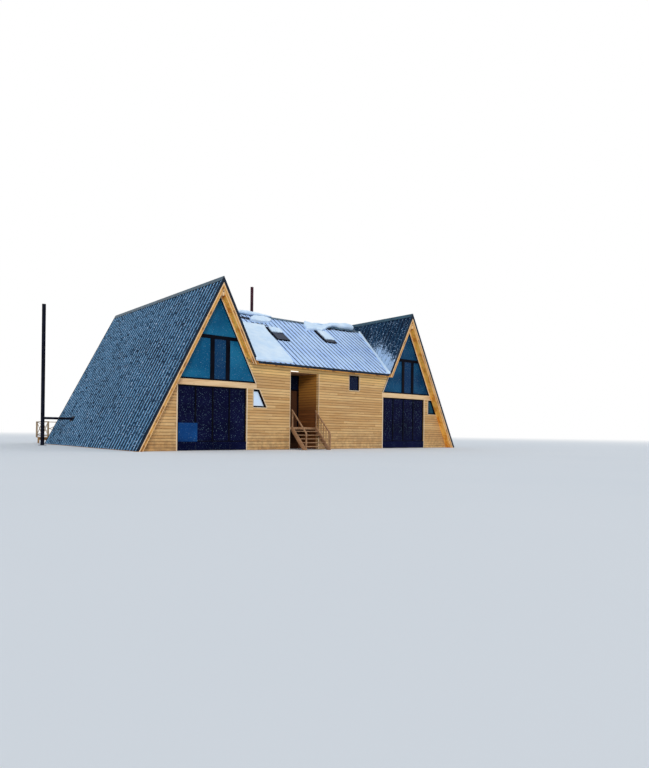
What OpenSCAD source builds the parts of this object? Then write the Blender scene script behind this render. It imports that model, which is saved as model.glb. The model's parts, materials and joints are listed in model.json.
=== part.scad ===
// Twin A-frame cabin: two A-frame houses joined by a gabled middle house.
// X runs along the front, left to right. Y runs from the front to the back. Z is up.
// All sizes are millimetres at the real scale.

/* [A-frame houses] */
// Height of the A-frame ridges above the ground, over the ribs of the sheets
ridge_h = 8430; // [7800:10:9200]
// Pitch of the A-frame slopes in degrees
slope_a = 62.9; // [61:0.1:66]
// Distance between the centres of the two A-frames
aframe_spacing = 13560; // [12800:10:15000]
// Depth of the A-frames, from front wall face to rear wall face
house_depth = 13050; // [12000:10:15000]
// Overhang of the slopes past the gable walls
verge_overhang = 420; // [300:10:600]
// Thickness of the A-frame roof decks, square to the slope
deck_t = 260; // [200:5:300]

/* [Middle house] */
// Drop of the middle roof's ridge below the A-frame ridges, over the ribs
mid_ridge_drop = 570; // [450:1:750]
// Pitch of the middle roof in degrees
mid_pitch = 35.45; // [32:0.05:37]
// Depth of the middle house, wall face to wall face
mid_depth = 8454; // [7600:2:8700]
// Overhang of the middle roof past its walls
eave_overhang = 420; // [300:10:600]
// Thickness of the middle roof decks, square to the slope
mid_deck_t = 150; // [120:5:200]

/* [Roof sheets] */
// Pitch of the ribs across a sheet
rib_pitch = 333; // [250:1:400]
// Height of a rib over the pan
rib_h = 40; // [25:1:50]
// Width of a rib at its top
rib_top = 34; // [20:1:50]
// Width of a rib at its foot
rib_foot = 84; // [60:1:110]
// Thickness of the sheet metal as modelled
sheet_t = 4; // [2:0.5:6]
// Leg of the folded ridge caps
cap_leg = 230; // [150:5:300]
// Gap left between a sheet and the roof it runs into
valley_gap = 30; // [10:5:60]

/* [Walls] */
// Thickness of the outer walls
wall_t = 200; // [150:5:250]
// Height of the upper floor's glazing sill
loft_z = 3400; // [3200:10:3600]
// Depth of the beam under the gable glazing
beam_h = 285; // [220:5:320]
// Width of the ridge beams
ridge_beam_w = 100; // [80:5:140]
// Depth of the ridge beams
ridge_beam_h = 180; // [140:10:240]
// Thickness of the upper floors
loft_floor_t = 220; // [180:5:260]
// Height of the ground floor over the ground
floor_z = 400; // [300:10:500]
// Height of the middle house's floor over the ground
mid_floor_z = 1200; // [1080:10:1320]
// Thickness of the middle house's floor
mid_floor_t = 200; // [150:5:250]

/* [Gable glazing] */
// Width of the frame around the gable glazing
gable_frame_w = 80; // [50:5:110]
// Height of the transom's lower edge above the sill
transom_up = 2030; // [1800:10:2150]
// Depth of the transom bar
transom_h = 170; // [100:5:220]
// Left edge of the door light, from the A-frame's centre
door_light_x = -201; // [-260:1:-150]
// Width of the door light
door_light_w = 648; // [560:1:720]
// Width of the mullions beside the door light
mullion_w = 220; // [120:5:260]
// Depth of the window frames, through the wall
frame_d = 90; // [60:5:120]
// Set-back of the window frames from the wall face
frame_back = 50; // [30:5:80]
// Thickness of the glass units
glass_t = 24; // [16:1:32]

/* [Ground floor openings] */
// Width of the wall's head between the left slope and the patio glazing
patio_in = 234; // [150:2:400]
// Number of sliding leaves in the patio glazing
patio_leaves = 4; // [2:1:6]
// Width of the patio frame bars
patio_bar = 70; // [50:5:100]
// Width of the wall between the patio glazing and the slanted window
window_pier = 400; // [300:5:700]
// Width of the slanted window's head
slant_window_w = 365; // [280:5:420]
// Height of the slanted window
slant_window_h = 912; // [800:2:1000]
// Drop of the slanted window's head below the beam
slant_window_drop = 22; // [10:2:80]
// Width of the small windows' frame bars
small_bar = 55; // [40:5:70]

/* [Middle house openings] */
// Gap between the porch's left wall and the foot of the left roof deck
porch_gap = 6; // [4:1:150]
// Width of the doorway
doorway_w = 1955; // [1800:5:2100]
// Drop of the doorway's head below the roof's eave edge
doorway_drop = 385; // [350:5:560]
// Left edge of the small window, from the left A-frame's centre
small_window_x = 8615; // [8200:5:9000]
// Width of the small window
small_window_w = 805; // [700:5:900]
// Height of the small window
small_window_h = 862; // [760:2:900]
// Drop of the small window's head below the roof's eave edge
small_window_drop = 293; // [250:1:400]

/* [Porch and entrance door] */
// Depth of the recessed porch
porch_depth = 1810; // [1500:10:2100]
// Thickness of the porch's inner walls and ceiling
porch_wall_t = 100; // [80:5:140]
// Thickness of the porch floor
porch_floor_t = 120; // [80:5:160]
// Width of the entrance door leaf
door_w = 930; // [850:5:980]
// Height of the entrance door leaf
door_h = 2100; // [2000:10:2200]
// Thickness of the entrance door leaf
door_t = 60; // [45:1:80]
// Width of the entrance door's frame bars
door_frame_w = 60; // [45:5:80]
// Gap around the entrance door leaf
door_gap = 8; // [6:0.5:12]
// Reach of the frame's stop over the leaf's edge and gap
door_stop = 20; // [15:1:30]
// Height of the lever handles over the leaf's lower edge
handle_h = 1020; // [950:5:1100]
// Length of the lever handles
handle_l = 130; // [110:1:150]

/* [Entrance stair] */
// Distance of the stair's left side from the doorway's left edge
stair_in = 95; // [60:5:200]
// Width of the stair over its stringers
stair_w = 1680; // [1500:5:1800]
// Number of risers
risers = 6; // [5:1:8]
// Going of one step
going = 205; // [190:5:260]
// Depth of a tread, front to back
tread_w = 260; // [240:5:300]
// Thickness of a tread
tread_t = 45; // [35:1:60]
// Thickness of the stringers
stringer_t = 50; // [40:5:70]
// Depth of the stringers, square to their run
stringer_h = 240; // [200:5:280]
// Height of the handrail over the treads' noses
stair_rail_h = 955; // [850:5:1050]
// Side of the stair posts
stair_post = 80; // [60:5:100]
// Side of the handrail
handrail = 55; // [40:5:70]
// Side of a baluster
baluster = 28; // [20:1:40]
// Spacing of the balusters on the right rail
baluster_step = 210; // [120:5:260]

/* [Roof windows] */
// Width of a roof window
roof_window_w = 860; // [740:10:980]
// Length of a roof window, up the slope
roof_window_l = 1420; // [1180:10:1500]
// Left edge of the left roof window, from the left A-frame's centre
roof_window_x1 = 4745; // [4650:5:4850]
// Distance of the left roof window from the eave, up the slope
roof_window_up1 = 2700; // [2550:10:2850]
// Left edge of the right roof window, from the left A-frame's centre
roof_window_x2 = 8665; // [8500:5:8800]
// Distance of the right roof window from the eave, up the slope
roof_window_up2 = 3230; // [3000:10:3350]
// Height of the roof windows' frames over the roof deck
roof_window_h = 95; // [70:5:120]
// Width of the roof windows' frame bars
roof_window_bar = 70; // [50:5:90]

/* [Flue and chimney] */
// Distance of the flue stack from the left A-frame's centre
flue_x = 5150; // [5000:10:5400]
// Distance of the flue stack behind the front wall
flue_y = 10750; // [10400:10:11000]
// Height of the flue stack
flue_h = 8040; // [7500:10:8600]
// Diameter of the flue stack
flue_d = 205; // [180:5:250]
// Height of the branch pipe's axis
branch_z = 1550; // [1400:10:1700]
// Diameter of the branch pipe
branch_d = 140; // [110:5:160]
// Place of the roof chimney, from the left A-frame's centre
chimney_x = 4860; // [4800:10:5000]
// Distance of the roof chimney behind the middle ridge
chimney_back = 380; // [330:10:450]
// Height of the roof chimney's top
chimney_top = 9560; // [9300:10:9900]
// Diameter of the roof chimney
chimney_d = 180; // [150:5:200]

/* [Rear decks] */
// Half width of a rear deck
rear_deck_half = 4100; // [3900:10:4150]
// Reach of a rear deck past the roof's rear edge
rear_deck_l = 2730; // [2400:10:3200]
// Thickness of the deck boards
rear_board_t = 40; // [30:1:50]
// Height of the deck's railing
deck_rail_h = 1000; // [900:10:1100]
// Side of the railing's posts
deck_post = 90; // [70:5:110]
// Side of the railing's top and bottom rails
deck_rail = 50; // [40:5:60]
// Side of the railing's cross braces
deck_brace = 30; // [22:1:40]
// Bays of a deck's side railing
side_bays = 2; // [1:1:4]
// Bays of the railing on each side of a deck's way down
rear_bays = 2; // [1:1:3]
// Width of the way down from a deck
deck_way = 1600; // [1200:10:2000]

/* [Hidden] */
seat = 0.3;
over_cut = 50;
tan_a = tan(slope_a);
seat_w = seat / sin(slope_a);
sheet_w = (rib_h + 2 * seat) / sin(slope_a);
roof_w = sheet_w + deck_t / sin(slope_a);
tan_m = tan(mid_pitch);
sheet_v = (rib_h + 2 * seat) / cos(mid_pitch);
mid_deck_v = mid_deck_t / cos(mid_pitch);
mid_ridge_y = mid_depth / 2;
mid_ridge_z = ridge_h - mid_ridge_drop;
mid_eave_z = mid_ridge_z - (mid_ridge_y + eave_overhang) * tan_m;
beam_under = loft_z - beam_h;
centres = [0, aframe_spacing];
slant_top = beam_under - slant_window_drop;
slant_low = slant_top - slant_window_h;
slant_window_x = inside(slant_top) - slant_window_w;
patio_x = patio_in - inside(beam_under);
patio_right = slant_window_x - window_pier;
patio_w = patio_right - patio_x;
doorway_x = deck_top(0) + porch_gap + porch_wall_t;
doorway_right = doorway_x + doorway_w;
doorway_top = mid_eave_z - doorway_drop;
small_window_z = mid_eave_z - small_window_drop - small_window_h;
stair_x = doorway_x + stair_in;
stair_right = stair_x + stair_w;
porch_back = porch_depth + porch_wall_t;
mid_wall_top = mid_under(wall_t) + over_cut;
door_unit_x = doorway_right - door_w - 2 * door_gap - 2 * door_frame_w;
leaf_x = door_unit_x + door_frame_w + door_gap;
leaf_z = mid_floor_z + door_gap;
light_z = leaf_z + door_h + door_gap + door_frame_w;
leaf_right = leaf_x + door_w;
stop_clear = 5;
hinge_d = 18;
hinge_h = 40;
hinge_out = 10;
hinge_plate = 3;
hinge_flap = 40;
hinge_inset = 220;
hinge_x = leaf_right + door_gap / 2;
hinge_y = porch_back + hinge_out;
handle_d = 20;
handle_out = 55;
handle_plate = 8;
handle_in = 65;
sill_top = loft_z + gable_frame_w;
transom_low = loft_z + transom_up;
transom_top = transom_low + transom_h;
door_light_right = door_light_x + door_light_w;
ridge_beam_top = ridge_h - (roof_w + seat_w + ridge_beam_w / 2) * tan_a;
ridge_beam_z = ridge_beam_top - ridge_beam_h;
top_pane_z = ridge_beam_z - gable_frame_w;
glass_y = frame_back + (frame_d - glass_t) / 2;
fascia_t = 30;
pipe_mouth = 300;
pipe_wall = 8;
foot_t = 20;
chimney_foot = mid_ridge_z - chimney_back * tan_m;
boot_t = 6;
pane_down = 6;
lap = 1;
boot_w = 420;
boot_l = 300;
deck_clear = 20;
deck_in = 60;
bearer_h = 160;
trim_t = 6;
trim_face = 130;
eave_trim_h = 120;
cap_t = 5;
ridge_gap = 5;
sheet_low = 20;
slope_sheet_l = (ridge_h - sheet_w * tan_a - sheet_low) / sin(slope_a) - ridge_gap;
mid_sheet_x = outer(mid_ridge_z);
mid_sheet_l = (mid_ridge_y + eave_overhang) / cos(mid_pitch) - ridge_gap;
far = 40000;
verge_front = -verge_overhang;
verge_rear = house_depth + verge_overhang;
rise = mid_floor_z / risers;
stair_run = risers * going;
patio_z0 = floor_z;
patio_h = beam_under - floor_z;
pipe_fn = 48;
flue_foot = 420;
deck_side_gap = 40;
deck_front_half = inside(floor_z) - deck_side_gap;
deck_y0 = verge_rear;
deck_y1 = verge_rear + rear_deck_l;
deck_lines = [deck_y0 + 2 * deck_post, (deck_y0 + deck_y1) / 2, deck_y1 - 3 * deck_post];
deck_post_gap = (2 * (rear_deck_half - deck_in) - deck_post) / 3;
rail_low = 90;
side_l = deck_y1 - deck_y0 - 2 * deck_in;
rear_l = rear_deck_half - deck_way / 2;
leaf_w = (patio_w - (patio_leaves + 1) * patio_bar) / patio_leaves;
stair_m = rise / going;
stringer_up = 100;
post_back = 20;
base_half = outer(0);
left_end = -flue_x - flue_foot / 2;
right_end = aframe_spacing + base_half + trim_t;
stair_front = -stair_run - stair_post;
front_end = stair_front;
rear_end = deck_y1;
origin_x = (left_end + right_end) / 2;
origin_y = (front_end + rear_end) / 2;

// Half widths of an A-frame at height z: over the ribs, over the deck and under the deck
function outer(z) = (ridge_h - z) / tan_a;
function deck_top(z) = outer(z) - sheet_w;
function under(z) = outer(z) - roof_w;

// Half widths at height z of what stands inside the decks, and of what stands against them from outside
function inside(z) = under(z) - seat_w;
function outside(z) = deck_top(z) + seat_w;

// Heights of the middle roof's front slope at depth y: over the ribs, over and under the deck
function mid_out(y) = mid_eave_z + (y + eave_overhang) * tan_m;
function mid_top(y) = mid_out(y) - sheet_v;
function mid_under(y) = mid_top(y) - mid_deck_v;

// Heights over the entrance stair's run at depth y: top of the stringers and of the handrails
function stringer_top(y) = mid_floor_z + stringer_up + y * stair_m;
stringer_v = stringer_h * norm([rise, going]) / going;
handrail_v = handrail * norm([rise, going]) / going;
function rail_top(y) = mid_floor_z + stair_rail_h + y * stair_m;

// Draws its 2D children in X and Z, and runs them from y0 to y1
module along_y(y0, y1)
    translate([0, y1, 0]) rotate([90, 0, 0]) linear_extrude(y1 - y0) children();

// Draws its 2D children in Y and Z, and runs them from x0 to x1
module along_x(x0, x1)
    translate([x0, 0, 0]) rotate([90, 0, 90]) linear_extrude(x1 - x0) children();

module box(x0, x1, y0, y1, z0, z1)
    translate([x0, y0, z0]) cube([x1 - x0, y1 - y0, z1 - z0]);

// Moves the model to the middle of its bounding box
module at_origin()
    translate([-origin_x, -origin_y, 0]) children();

// Puts its children in each A-frame's own place
module each_house()
    for (x = centres) translate([x, 0, 0]) children();

// Turns a front piece into the same piece on the A-frames' rear wall
module to_rear()
    translate([0, house_depth, 0]) mirror([0, 1, 0]) children();

// Turns a piece of the middle house's front into the same piece at its back
module to_mid_rear()
    translate([0, mid_depth, 0]) mirror([0, 1, 0]) children();

// One side of an A-frame between two half-width offsets, side = -1 left or 1 right
module slope_section(side, w0, w1)
    polygon([
        [0, ridge_h - w0 * tan_a],
        [side * (outer(0) - w0), 0],
        [side * (outer(0) - w1), 0],
        [0, ridge_h - w1 * tan_a]
    ]);

// Where the middle house stands against the inner slopes, with a gap g around it
module mid_house_outline(g)
    polygon([
        [verge_front - 1, 0],
        [verge_front - 1, mid_out(verge_front - 1) + g],
        [mid_ridge_y, mid_ridge_z + g],
        [mid_depth + eave_overhang + g, mid_out(-eave_overhang - g) + g],
        [mid_depth + eave_overhang + g, mid_under(-eave_overhang) - g],
        [mid_depth + g, mid_under(0) - g],
        [mid_depth + g, 0]
    ]);

// Roof decks of the A-frames
module outer_deck(side)
    along_y(verge_front + fascia_t, verge_rear - fascia_t)
        slope_section(side, sheet_w, roof_w);

// The inner deck stops over the middle roof in front of the middle house's walls
module inner_deck(side)
    difference() {
        outer_deck(side);
        along_x(-far, far) polygon([
            [verge_front - 1, -1],
            [verge_front - 1, mid_top(verge_front - 1) + seat],
            [wall_t, mid_top(wall_t) + seat],
            [wall_t, -1]
        ]);
    }

module left_outer_deck() color("burlywood") at_origin() outer_deck(-1);
module left_inner_deck() color("burlywood") at_origin() inner_deck(1);
module right_inner_deck() color("burlywood") at_origin() translate([aframe_spacing, 0, 0]) inner_deck(-1);
module right_outer_deck() color("burlywood") at_origin() translate([aframe_spacing, 0, 0]) outer_deck(1);

// Section of a ribbed sheet of a given width, standing on the X axis
function rib_count(w) = floor((w - rib_foot) / rib_pitch);
function rib_margin(w) = (w - rib_count(w) * rib_pitch) / 2;
function rib_line(w, lift) = [
    for (i = [0 : rib_count(w)])
        let (c = rib_margin(w) + i * rib_pitch)
        each [
            [c - rib_foot / 2, lift],
            [c - rib_top / 2, lift + rib_h - sheet_t],
            [c + rib_top / 2, lift + rib_h - sheet_t],
            [c + rib_foot / 2, lift]
        ]
];
function reversed(v) = [for (i = [len(v) - 1 : -1 : 0]) v[i]];
module sheet_section(w)
    polygon(concat(
        [[0, 0]], rib_line(w, 0), [[w, 0], [w, sheet_t]],
        reversed(rib_line(w, sheet_t)), [[0, sheet_t]]
    ));

// Draws its children for the left slope, or mirrors them for the right one
module on_side(side) {
    if (side < 0) children();
    else mirror([1, 0, 0]) children();
}

// A ribbed sheet on an A-frame slope, its ribs running down the slope
module slope_sheet(side)
    on_side(side)
        translate([-deck_top(sheet_low), verge_front + seat, sheet_low])
            rotate([0, 90 - slope_a, 0]) rotate([0, 0, 90])
                linear_extrude(slope_sheet_l)
                    translate([0, seat]) sheet_section(verge_rear - verge_front - 2 * seat);

module inner_slope_sheet(side)
    difference() {
        slope_sheet(side);
        along_x(-far, far) mid_house_outline(valley_gap);
    }

module left_outer_sheet() color("darkslategray") at_origin() slope_sheet(-1);
module left_inner_sheet() color("darkslategray") at_origin() inner_slope_sheet(1);
module right_inner_sheet() color("darkslategray") at_origin()
    translate([aframe_spacing, 0, 0]) inner_slope_sheet(-1);
module right_outer_sheet() color("darkslategray") at_origin()
    translate([aframe_spacing, 0, 0]) slope_sheet(1);

// What the A-frames cut off the middle roof, for a half width over the ribs less w
module between_houses(w, y0, y1)
    for (x = centres) translate([x, 0, 0])
        along_y(y0, y1) polygon([
            [-(outer(0) - w), 0],
            [0, ridge_h - w * tan_a],
            [outer(0) - w, 0]
        ]);

module mid_front_deck()
    difference() {
        along_x(0, aframe_spacing) polygon([
            [-eave_overhang + fascia_t, mid_top(-eave_overhang + fascia_t)],
            [mid_ridge_y, mid_top(mid_ridge_y)],
            [mid_ridge_y, mid_under(mid_ridge_y)],
            [-eave_overhang + fascia_t, mid_under(-eave_overhang + fascia_t)]
        ]);
        between_houses(roof_w - seat_w, -eave_overhang - 1, wall_t);
        between_houses(sheet_w - seat_w, wall_t, mid_depth + 1);
        roof_window_holes();
    }

// The rear slope stops at the A-frames all the way, as its eave has no flush wall beside it
module mid_rear_deck()
    difference() {
        along_x(0, aframe_spacing) polygon([
            [mid_ridge_y, mid_top(mid_ridge_y)],
            [mid_depth + eave_overhang - fascia_t, mid_top(-eave_overhang + fascia_t)],
            [mid_depth + eave_overhang - fascia_t, mid_under(-eave_overhang + fascia_t)],
            [mid_ridge_y, mid_under(mid_ridge_y)]
        ]);
        between_houses(sheet_w - seat_w, mid_ridge_y - 1, mid_depth + eave_overhang + 1);
    }

module middle_front_deck() color("burlywood") at_origin() mid_front_deck();
module middle_rear_deck() color("burlywood") at_origin() mid_rear_deck();

// A ribbed sheet on the middle roof's front slope, made from the ridge down
module mid_slope_sheet()
    translate([mid_sheet_x, mid_ridge_y, mid_top(mid_ridge_y)])
        rotate([90 + mid_pitch, 0, 0])
            translate([0, 0, ridge_gap])
                linear_extrude(mid_sheet_l)
                    translate([0, seat]) sheet_section(aframe_spacing - 2 * mid_sheet_x);

module middle_front_sheet() color("slategray") at_origin()
    difference() {
        mid_slope_sheet();
        between_houses(0, -eave_overhang - over_cut, mid_depth);
        roof_window_holes();
    }

module middle_rear_sheet() color("slategray") at_origin()
    difference() {
        to_mid_rear() mid_slope_sheet();
        between_houses(0, 0, mid_depth + eave_overhang + over_cut);
    }

// Holes for the two roof windows, square to the middle roof
module on_roof_window(x, up)
    translate([x, -eave_overhang, mid_top(-eave_overhang)])
        rotate([mid_pitch, 0, 0])
            translate([0, up, 0]) children();
module roof_window_holes() {
    on_roof_window(roof_window_x1, roof_window_up1)
        translate([0, 0, -2 * mid_deck_t]) cube([roof_window_w, roof_window_l, 4 * mid_deck_t]);
    on_roof_window(roof_window_x2, roof_window_up2)
        translate([0, 0, -2 * mid_deck_t]) cube([roof_window_w, roof_window_l, 4 * mid_deck_t]);
}
module roof_window() {
    difference() {
        translate([seat, seat, -mid_deck_t / 2])
            cube([roof_window_w - 2 * seat, roof_window_l - 2 * seat, mid_deck_t / 2 + roof_window_h]);
        translate([roof_window_bar, roof_window_bar, -mid_deck_t])
            cube([roof_window_w - 2 * roof_window_bar, roof_window_l - 2 * roof_window_bar,
                mid_deck_t + roof_window_h - glass_t - pane_down]);
        translate([roof_window_bar / 2, roof_window_bar / 2, roof_window_h - glass_t - pane_down])
            cube([roof_window_w - roof_window_bar, roof_window_l - roof_window_bar, 2 * glass_t]);
    }
    pane_inset = roof_window_bar / 2 + seat;
    translate([pane_inset, pane_inset, roof_window_h - glass_t - pane_down])
        cube([roof_window_w - 2 * pane_inset, roof_window_l - 2 * pane_inset, glass_t]);
}
module roof_windows() color("dimgray") at_origin() {
    on_roof_window(roof_window_x1, roof_window_up1) roof_window();
    on_roof_window(roof_window_x2, roof_window_up2) roof_window();
}

// Folded caps over the ridges: the section of one for a roof of pitch a, its fold at the origin
module cap_section(a)
    polygon([
        [-cap_leg * cos(a), -cap_leg * sin(a)],
        [0, 0],
        [cap_leg * cos(a), -cap_leg * sin(a)],
        [cap_leg * cos(a) + cap_t * sin(a), cap_t * cos(a) - cap_leg * sin(a)],
        [0, cap_t / cos(a)],
        [-cap_leg * cos(a) - cap_t * sin(a), cap_t * cos(a) - cap_leg * sin(a)]
    ]);
module a_ridge_cap()
    along_y(verge_front, verge_rear) translate([0, ridge_h]) cap_section(slope_a);
module mid_ridge_cap()
    difference() {
        along_x(0, aframe_spacing) translate([mid_ridge_y, mid_ridge_z]) cap_section(mid_pitch);
        between_houses(0, 0, mid_depth);
    }
module ridge_caps() color("darkslategray") at_origin() {
    each_house() a_ridge_cap();
    mid_ridge_cap();
}

// Fascia boards close the ends of the A-frame decks, the metal trims cap them
module fascia_half(side, y0, cut_z)
    intersection() {
        along_y(y0, y0 + fascia_t) slope_section(side, sheet_w, roof_w);
        box(-far, far, y0 - 1, y0 + fascia_t + 1, cut_z, ridge_h);
    }
module fascia_boards() color("peru") at_origin() {
    inner_foot = mid_top(verge_front + fascia_t) + seat;
    each_house() {
        fascia_half(-1, verge_rear - fascia_t, 0);
        fascia_half(1, verge_rear - fascia_t, 0);
    }
    fascia_half(-1, verge_front, 0);
    fascia_half(1, verge_front, inner_foot);
    translate([aframe_spacing, 0, 0]) {
        fascia_half(1, verge_front, 0);
        fascia_half(-1, verge_front, inner_foot);
    }
    eave_fascia(roof_w - seat_w);
    to_mid_rear() eave_fascia(sheet_w - seat_w);
}

// Eave board of the middle roof, ending at the half width over the ribs less w
module eave_fascia(w)
    difference() {
        along_x(0, aframe_spacing) polygon([
            [-eave_overhang, mid_top(-eave_overhang)],
            [-eave_overhang + fascia_t, mid_top(-eave_overhang + fascia_t)],
            [-eave_overhang + fascia_t, mid_under(-eave_overhang + fascia_t)],
            [-eave_overhang, mid_under(-eave_overhang)]
        ]);
        between_houses(w, -eave_overhang - 1, 0);
    }

// Front wall, one flush plane from corner to corner, split at its openings
module wall_left_outline()
    polygon([
        [-inside(0), 0], [patio_x, 0], [patio_x, beam_under],
        [-inside(loft_z), beam_under], [-inside(loft_z), loft_z]
    ]);
module slant_outline(inset)
    polygon([
        [slant_window_x + inset, slant_low + inset],
        [inside(slant_low + inset) - inset / sin(slope_a), slant_low + inset],
        [inside(slant_top - inset) - inset / sin(slope_a), slant_top - inset],
        [slant_window_x + inset, slant_top - inset]
    ]);
module wall_right_outline()
    difference() {
        polygon([
            [patio_right, 0], [inside(0), 0], [inside(loft_z), loft_z],
            [inside(loft_z), beam_under], [patio_right, beam_under]
        ]);
        slant_outline(0);
    }

// Cuts the tops of the middle house's front walls to the underside of its roof
module under_mid_front()
    difference() {
        children();
        along_x(-far, far) polygon([
            [-1, mid_under(-1) - seat], [wall_t + 1, mid_under(wall_t + 1) - seat],
            [wall_t + 1, ridge_h], [-1, ridge_h]
        ]);
    }

module front_wall_left() color("tan") at_origin()
    along_y(0, wall_t) wall_left_outline();

module front_wall_mid_left() color("tan") at_origin()
    under_mid_front() along_y(0, wall_t) difference() {
        polygon([
            [patio_right, 0], [doorway_x, 0], [doorway_x, mid_wall_top],
            [under(mid_wall_top), mid_wall_top], [under(loft_z), loft_z],
            [under(loft_z), beam_under], [patio_right, beam_under]
        ]);
        slant_outline(0);
    }

module front_wall_over_door() color("tan") at_origin()
    under_mid_front() box(doorway_x, doorway_right, 0, wall_t, doorway_top, mid_wall_top);

module front_wall_mid_right() color("tan") at_origin()
    under_mid_front() translate([aframe_spacing, 0, 0]) along_y(0, wall_t) difference() {
        polygon([
            [doorway_right - aframe_spacing, 0], [patio_x, 0],
            [patio_x, beam_under], [-under(loft_z), beam_under],
            [-under(loft_z), loft_z], [-under(mid_wall_top), mid_wall_top],
            [doorway_right - aframe_spacing, mid_wall_top]
        ]);
        translate([-aframe_spacing, 0]) small_window_outline(0);
    }

module front_wall_right() color("tan") at_origin()
    translate([aframe_spacing, 0, 0]) along_y(0, wall_t) wall_right_outline();

module small_window_outline(inset)
    translate([small_window_x + inset, small_window_z + inset])
        square([small_window_w - 2 * inset, small_window_h - 2 * inset]);

// Beams over the patio openings, and the ridge beam under each A-frame's decks
module loft_beams() color("wheat") at_origin()
    each_house() {
        loft_beam();
        to_rear() loft_beam();
        box(-ridge_beam_w / 2, ridge_beam_w / 2, verge_front + fascia_t, verge_rear - fascia_t,
            ridge_beam_z, ridge_beam_top);
    }
module loft_beam()
    box(seat - inside(loft_z), inside(loft_z) - seat, 0, wall_t, beam_under, loft_z);

module rear_walls() color("tan") at_origin() {
    each_house() to_rear() along_y(0, wall_t) {
        wall_left_outline();
        wall_right_outline();
    }
    to_mid_rear() under_mid_front() along_y(0, wall_t) difference() {
        polygon([
            [outside(0), 0], [aframe_spacing - outside(0), 0],
            [aframe_spacing - outside(mid_wall_top), mid_wall_top],
            [outside(mid_wall_top), mid_wall_top]
        ]);
        small_window_outline(0);
        other_half() small_window_outline(0);
    }
}

// The same shape mirrored about the middle house's centre
module other_half()
    translate([aframe_spacing, 0, 0]) mirror([1, 0, 0]) children();

// Floors
module ground_slabs() color("gray") at_origin()
    each_house() {
        along_y(wall_t, house_depth - wall_t)
            polygon([
                [-inside(0), 0], [inside(0), 0],
                [inside(floor_z), floor_z], [-inside(floor_z), floor_z]
            ]);
        patio_base();
        to_rear() patio_base();
    }
module patio_base()
    box(patio_x + seat, patio_right - seat, 0, wall_t, 0, floor_z);

module middle_floor() color("gray") at_origin()
    difference() {
        along_y(wall_t, mid_depth - wall_t) polygon([
            [outside(mid_floor_z - mid_floor_t), mid_floor_z - mid_floor_t],
            [aframe_spacing - outside(mid_floor_z - mid_floor_t), mid_floor_z - mid_floor_t],
            [aframe_spacing - outside(mid_floor_z), mid_floor_z],
            [outside(mid_floor_z), mid_floor_z]
        ]);
        box(doorway_x - porch_wall_t, doorway_right + porch_wall_t, 0, porch_back, 0, far);
    }

module loft_floors() color("burlywood") at_origin()
    each_house() along_y(wall_t, house_depth - wall_t) polygon([
        [-inside(loft_z - loft_floor_t), loft_z - loft_floor_t],
        [inside(loft_z - loft_floor_t), loft_z - loft_floor_t],
        [inside(loft_z), loft_z], [-inside(loft_z), loft_z]
    ]);

// Recessed porch
module porch_side_walls() color("sienna") at_origin() {
    box(doorway_x - porch_wall_t, doorway_x, wall_t, porch_back, 0, doorway_top);
    box(doorway_right, doorway_right + porch_wall_t, wall_t, porch_back, 0, doorway_top);
}
module porch_floor_and_ceiling() color("peru") at_origin() {
    box(doorway_x, doorway_right, 0, porch_back, mid_floor_z - porch_floor_t, mid_floor_z);
    box(doorway_x - porch_wall_t, doorway_right + porch_wall_t, wall_t, porch_back,
        doorway_top, doorway_top + porch_wall_t);
}
module porch_back_wall() color("sienna") at_origin() {
    box(doorway_x, doorway_right, porch_depth, porch_back, 0, mid_floor_z - porch_floor_t);
    box(doorway_x, door_unit_x, porch_depth, porch_back, mid_floor_z, doorway_top);
}

// Door frame with a stop around the leaf and a fixed light over it
module leaf_way(inset, y0, y1)
    box(leaf_x - door_gap + inset, leaf_right + door_gap - inset, y0, y1,
        mid_floor_z - 1, leaf_z + door_h + door_gap - inset);
module light_way(y0, y1)
    box(leaf_x - door_gap, leaf_right + door_gap, y0, y1, light_z, doorway_top - door_frame_w);
module door_frame() color("black") at_origin() {
    difference() {
        box(door_unit_x, doorway_right, porch_depth, porch_back, mid_floor_z, doorway_top);
        leaf_way(0, porch_back - door_t - stop_clear, porch_back + 1);
        leaf_way(door_stop, porch_depth - 1, porch_back);
        light_way(porch_depth - 1, porch_back + 1);
    }
    at_hinges() {
        knuckle(-1);
        knuckle(1);
        for (k = [-1, 1])
            translate([0, -hinge_out, k * hinge_h - hinge_h / 2])
                cube([hinge_flap, hinge_plate, hinge_h]);
    }
}

// Hinge knuckle number k of three, the middle one is the leaf's own
module knuckle(k)
    translate([0, 0, k * hinge_h - hinge_h / 2 + seat / 2])
        cylinder(h = hinge_h - seat, d = hinge_d, $fn = pipe_fn);
module at_hinges()
    for (z = [leaf_z + hinge_inset, leaf_z + door_h / 2, leaf_z + door_h - hinge_inset])
        translate([hinge_x, hinge_y, z]) children();

module entrance_door() color("saddlebrown") at_origin() {
    box(leaf_x, leaf_right, porch_back - door_t, porch_back, leaf_z, leaf_z + door_h);
    at_hinges() {
        knuckle(0);
        translate([-hinge_flap, -hinge_out, (seat - hinge_h) / 2])
            cube([hinge_flap, hinge_plate, hinge_h - seat]);
    }
    translate([leaf_x + handle_in, porch_back - door_t, leaf_z + handle_h]) handle();
    translate([leaf_x + handle_in, porch_back, leaf_z + handle_h]) mirror([0, 1, 0]) handle();
}

// Lever handle that stands out towards -Y
module handle() {
    rotate([90, 0, 0]) cylinder(h = handle_plate, d = 2.5 * handle_d, $fn = pipe_fn);
    rotate([90, 0, 0]) cylinder(h = handle_out, d = handle_d, $fn = pipe_fn);
    translate([0, -handle_out + handle_d / 2, 0]) rotate([0, 90, 0])
        cylinder(h = handle_l, d = handle_d, $fn = pipe_fn);
}

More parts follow.
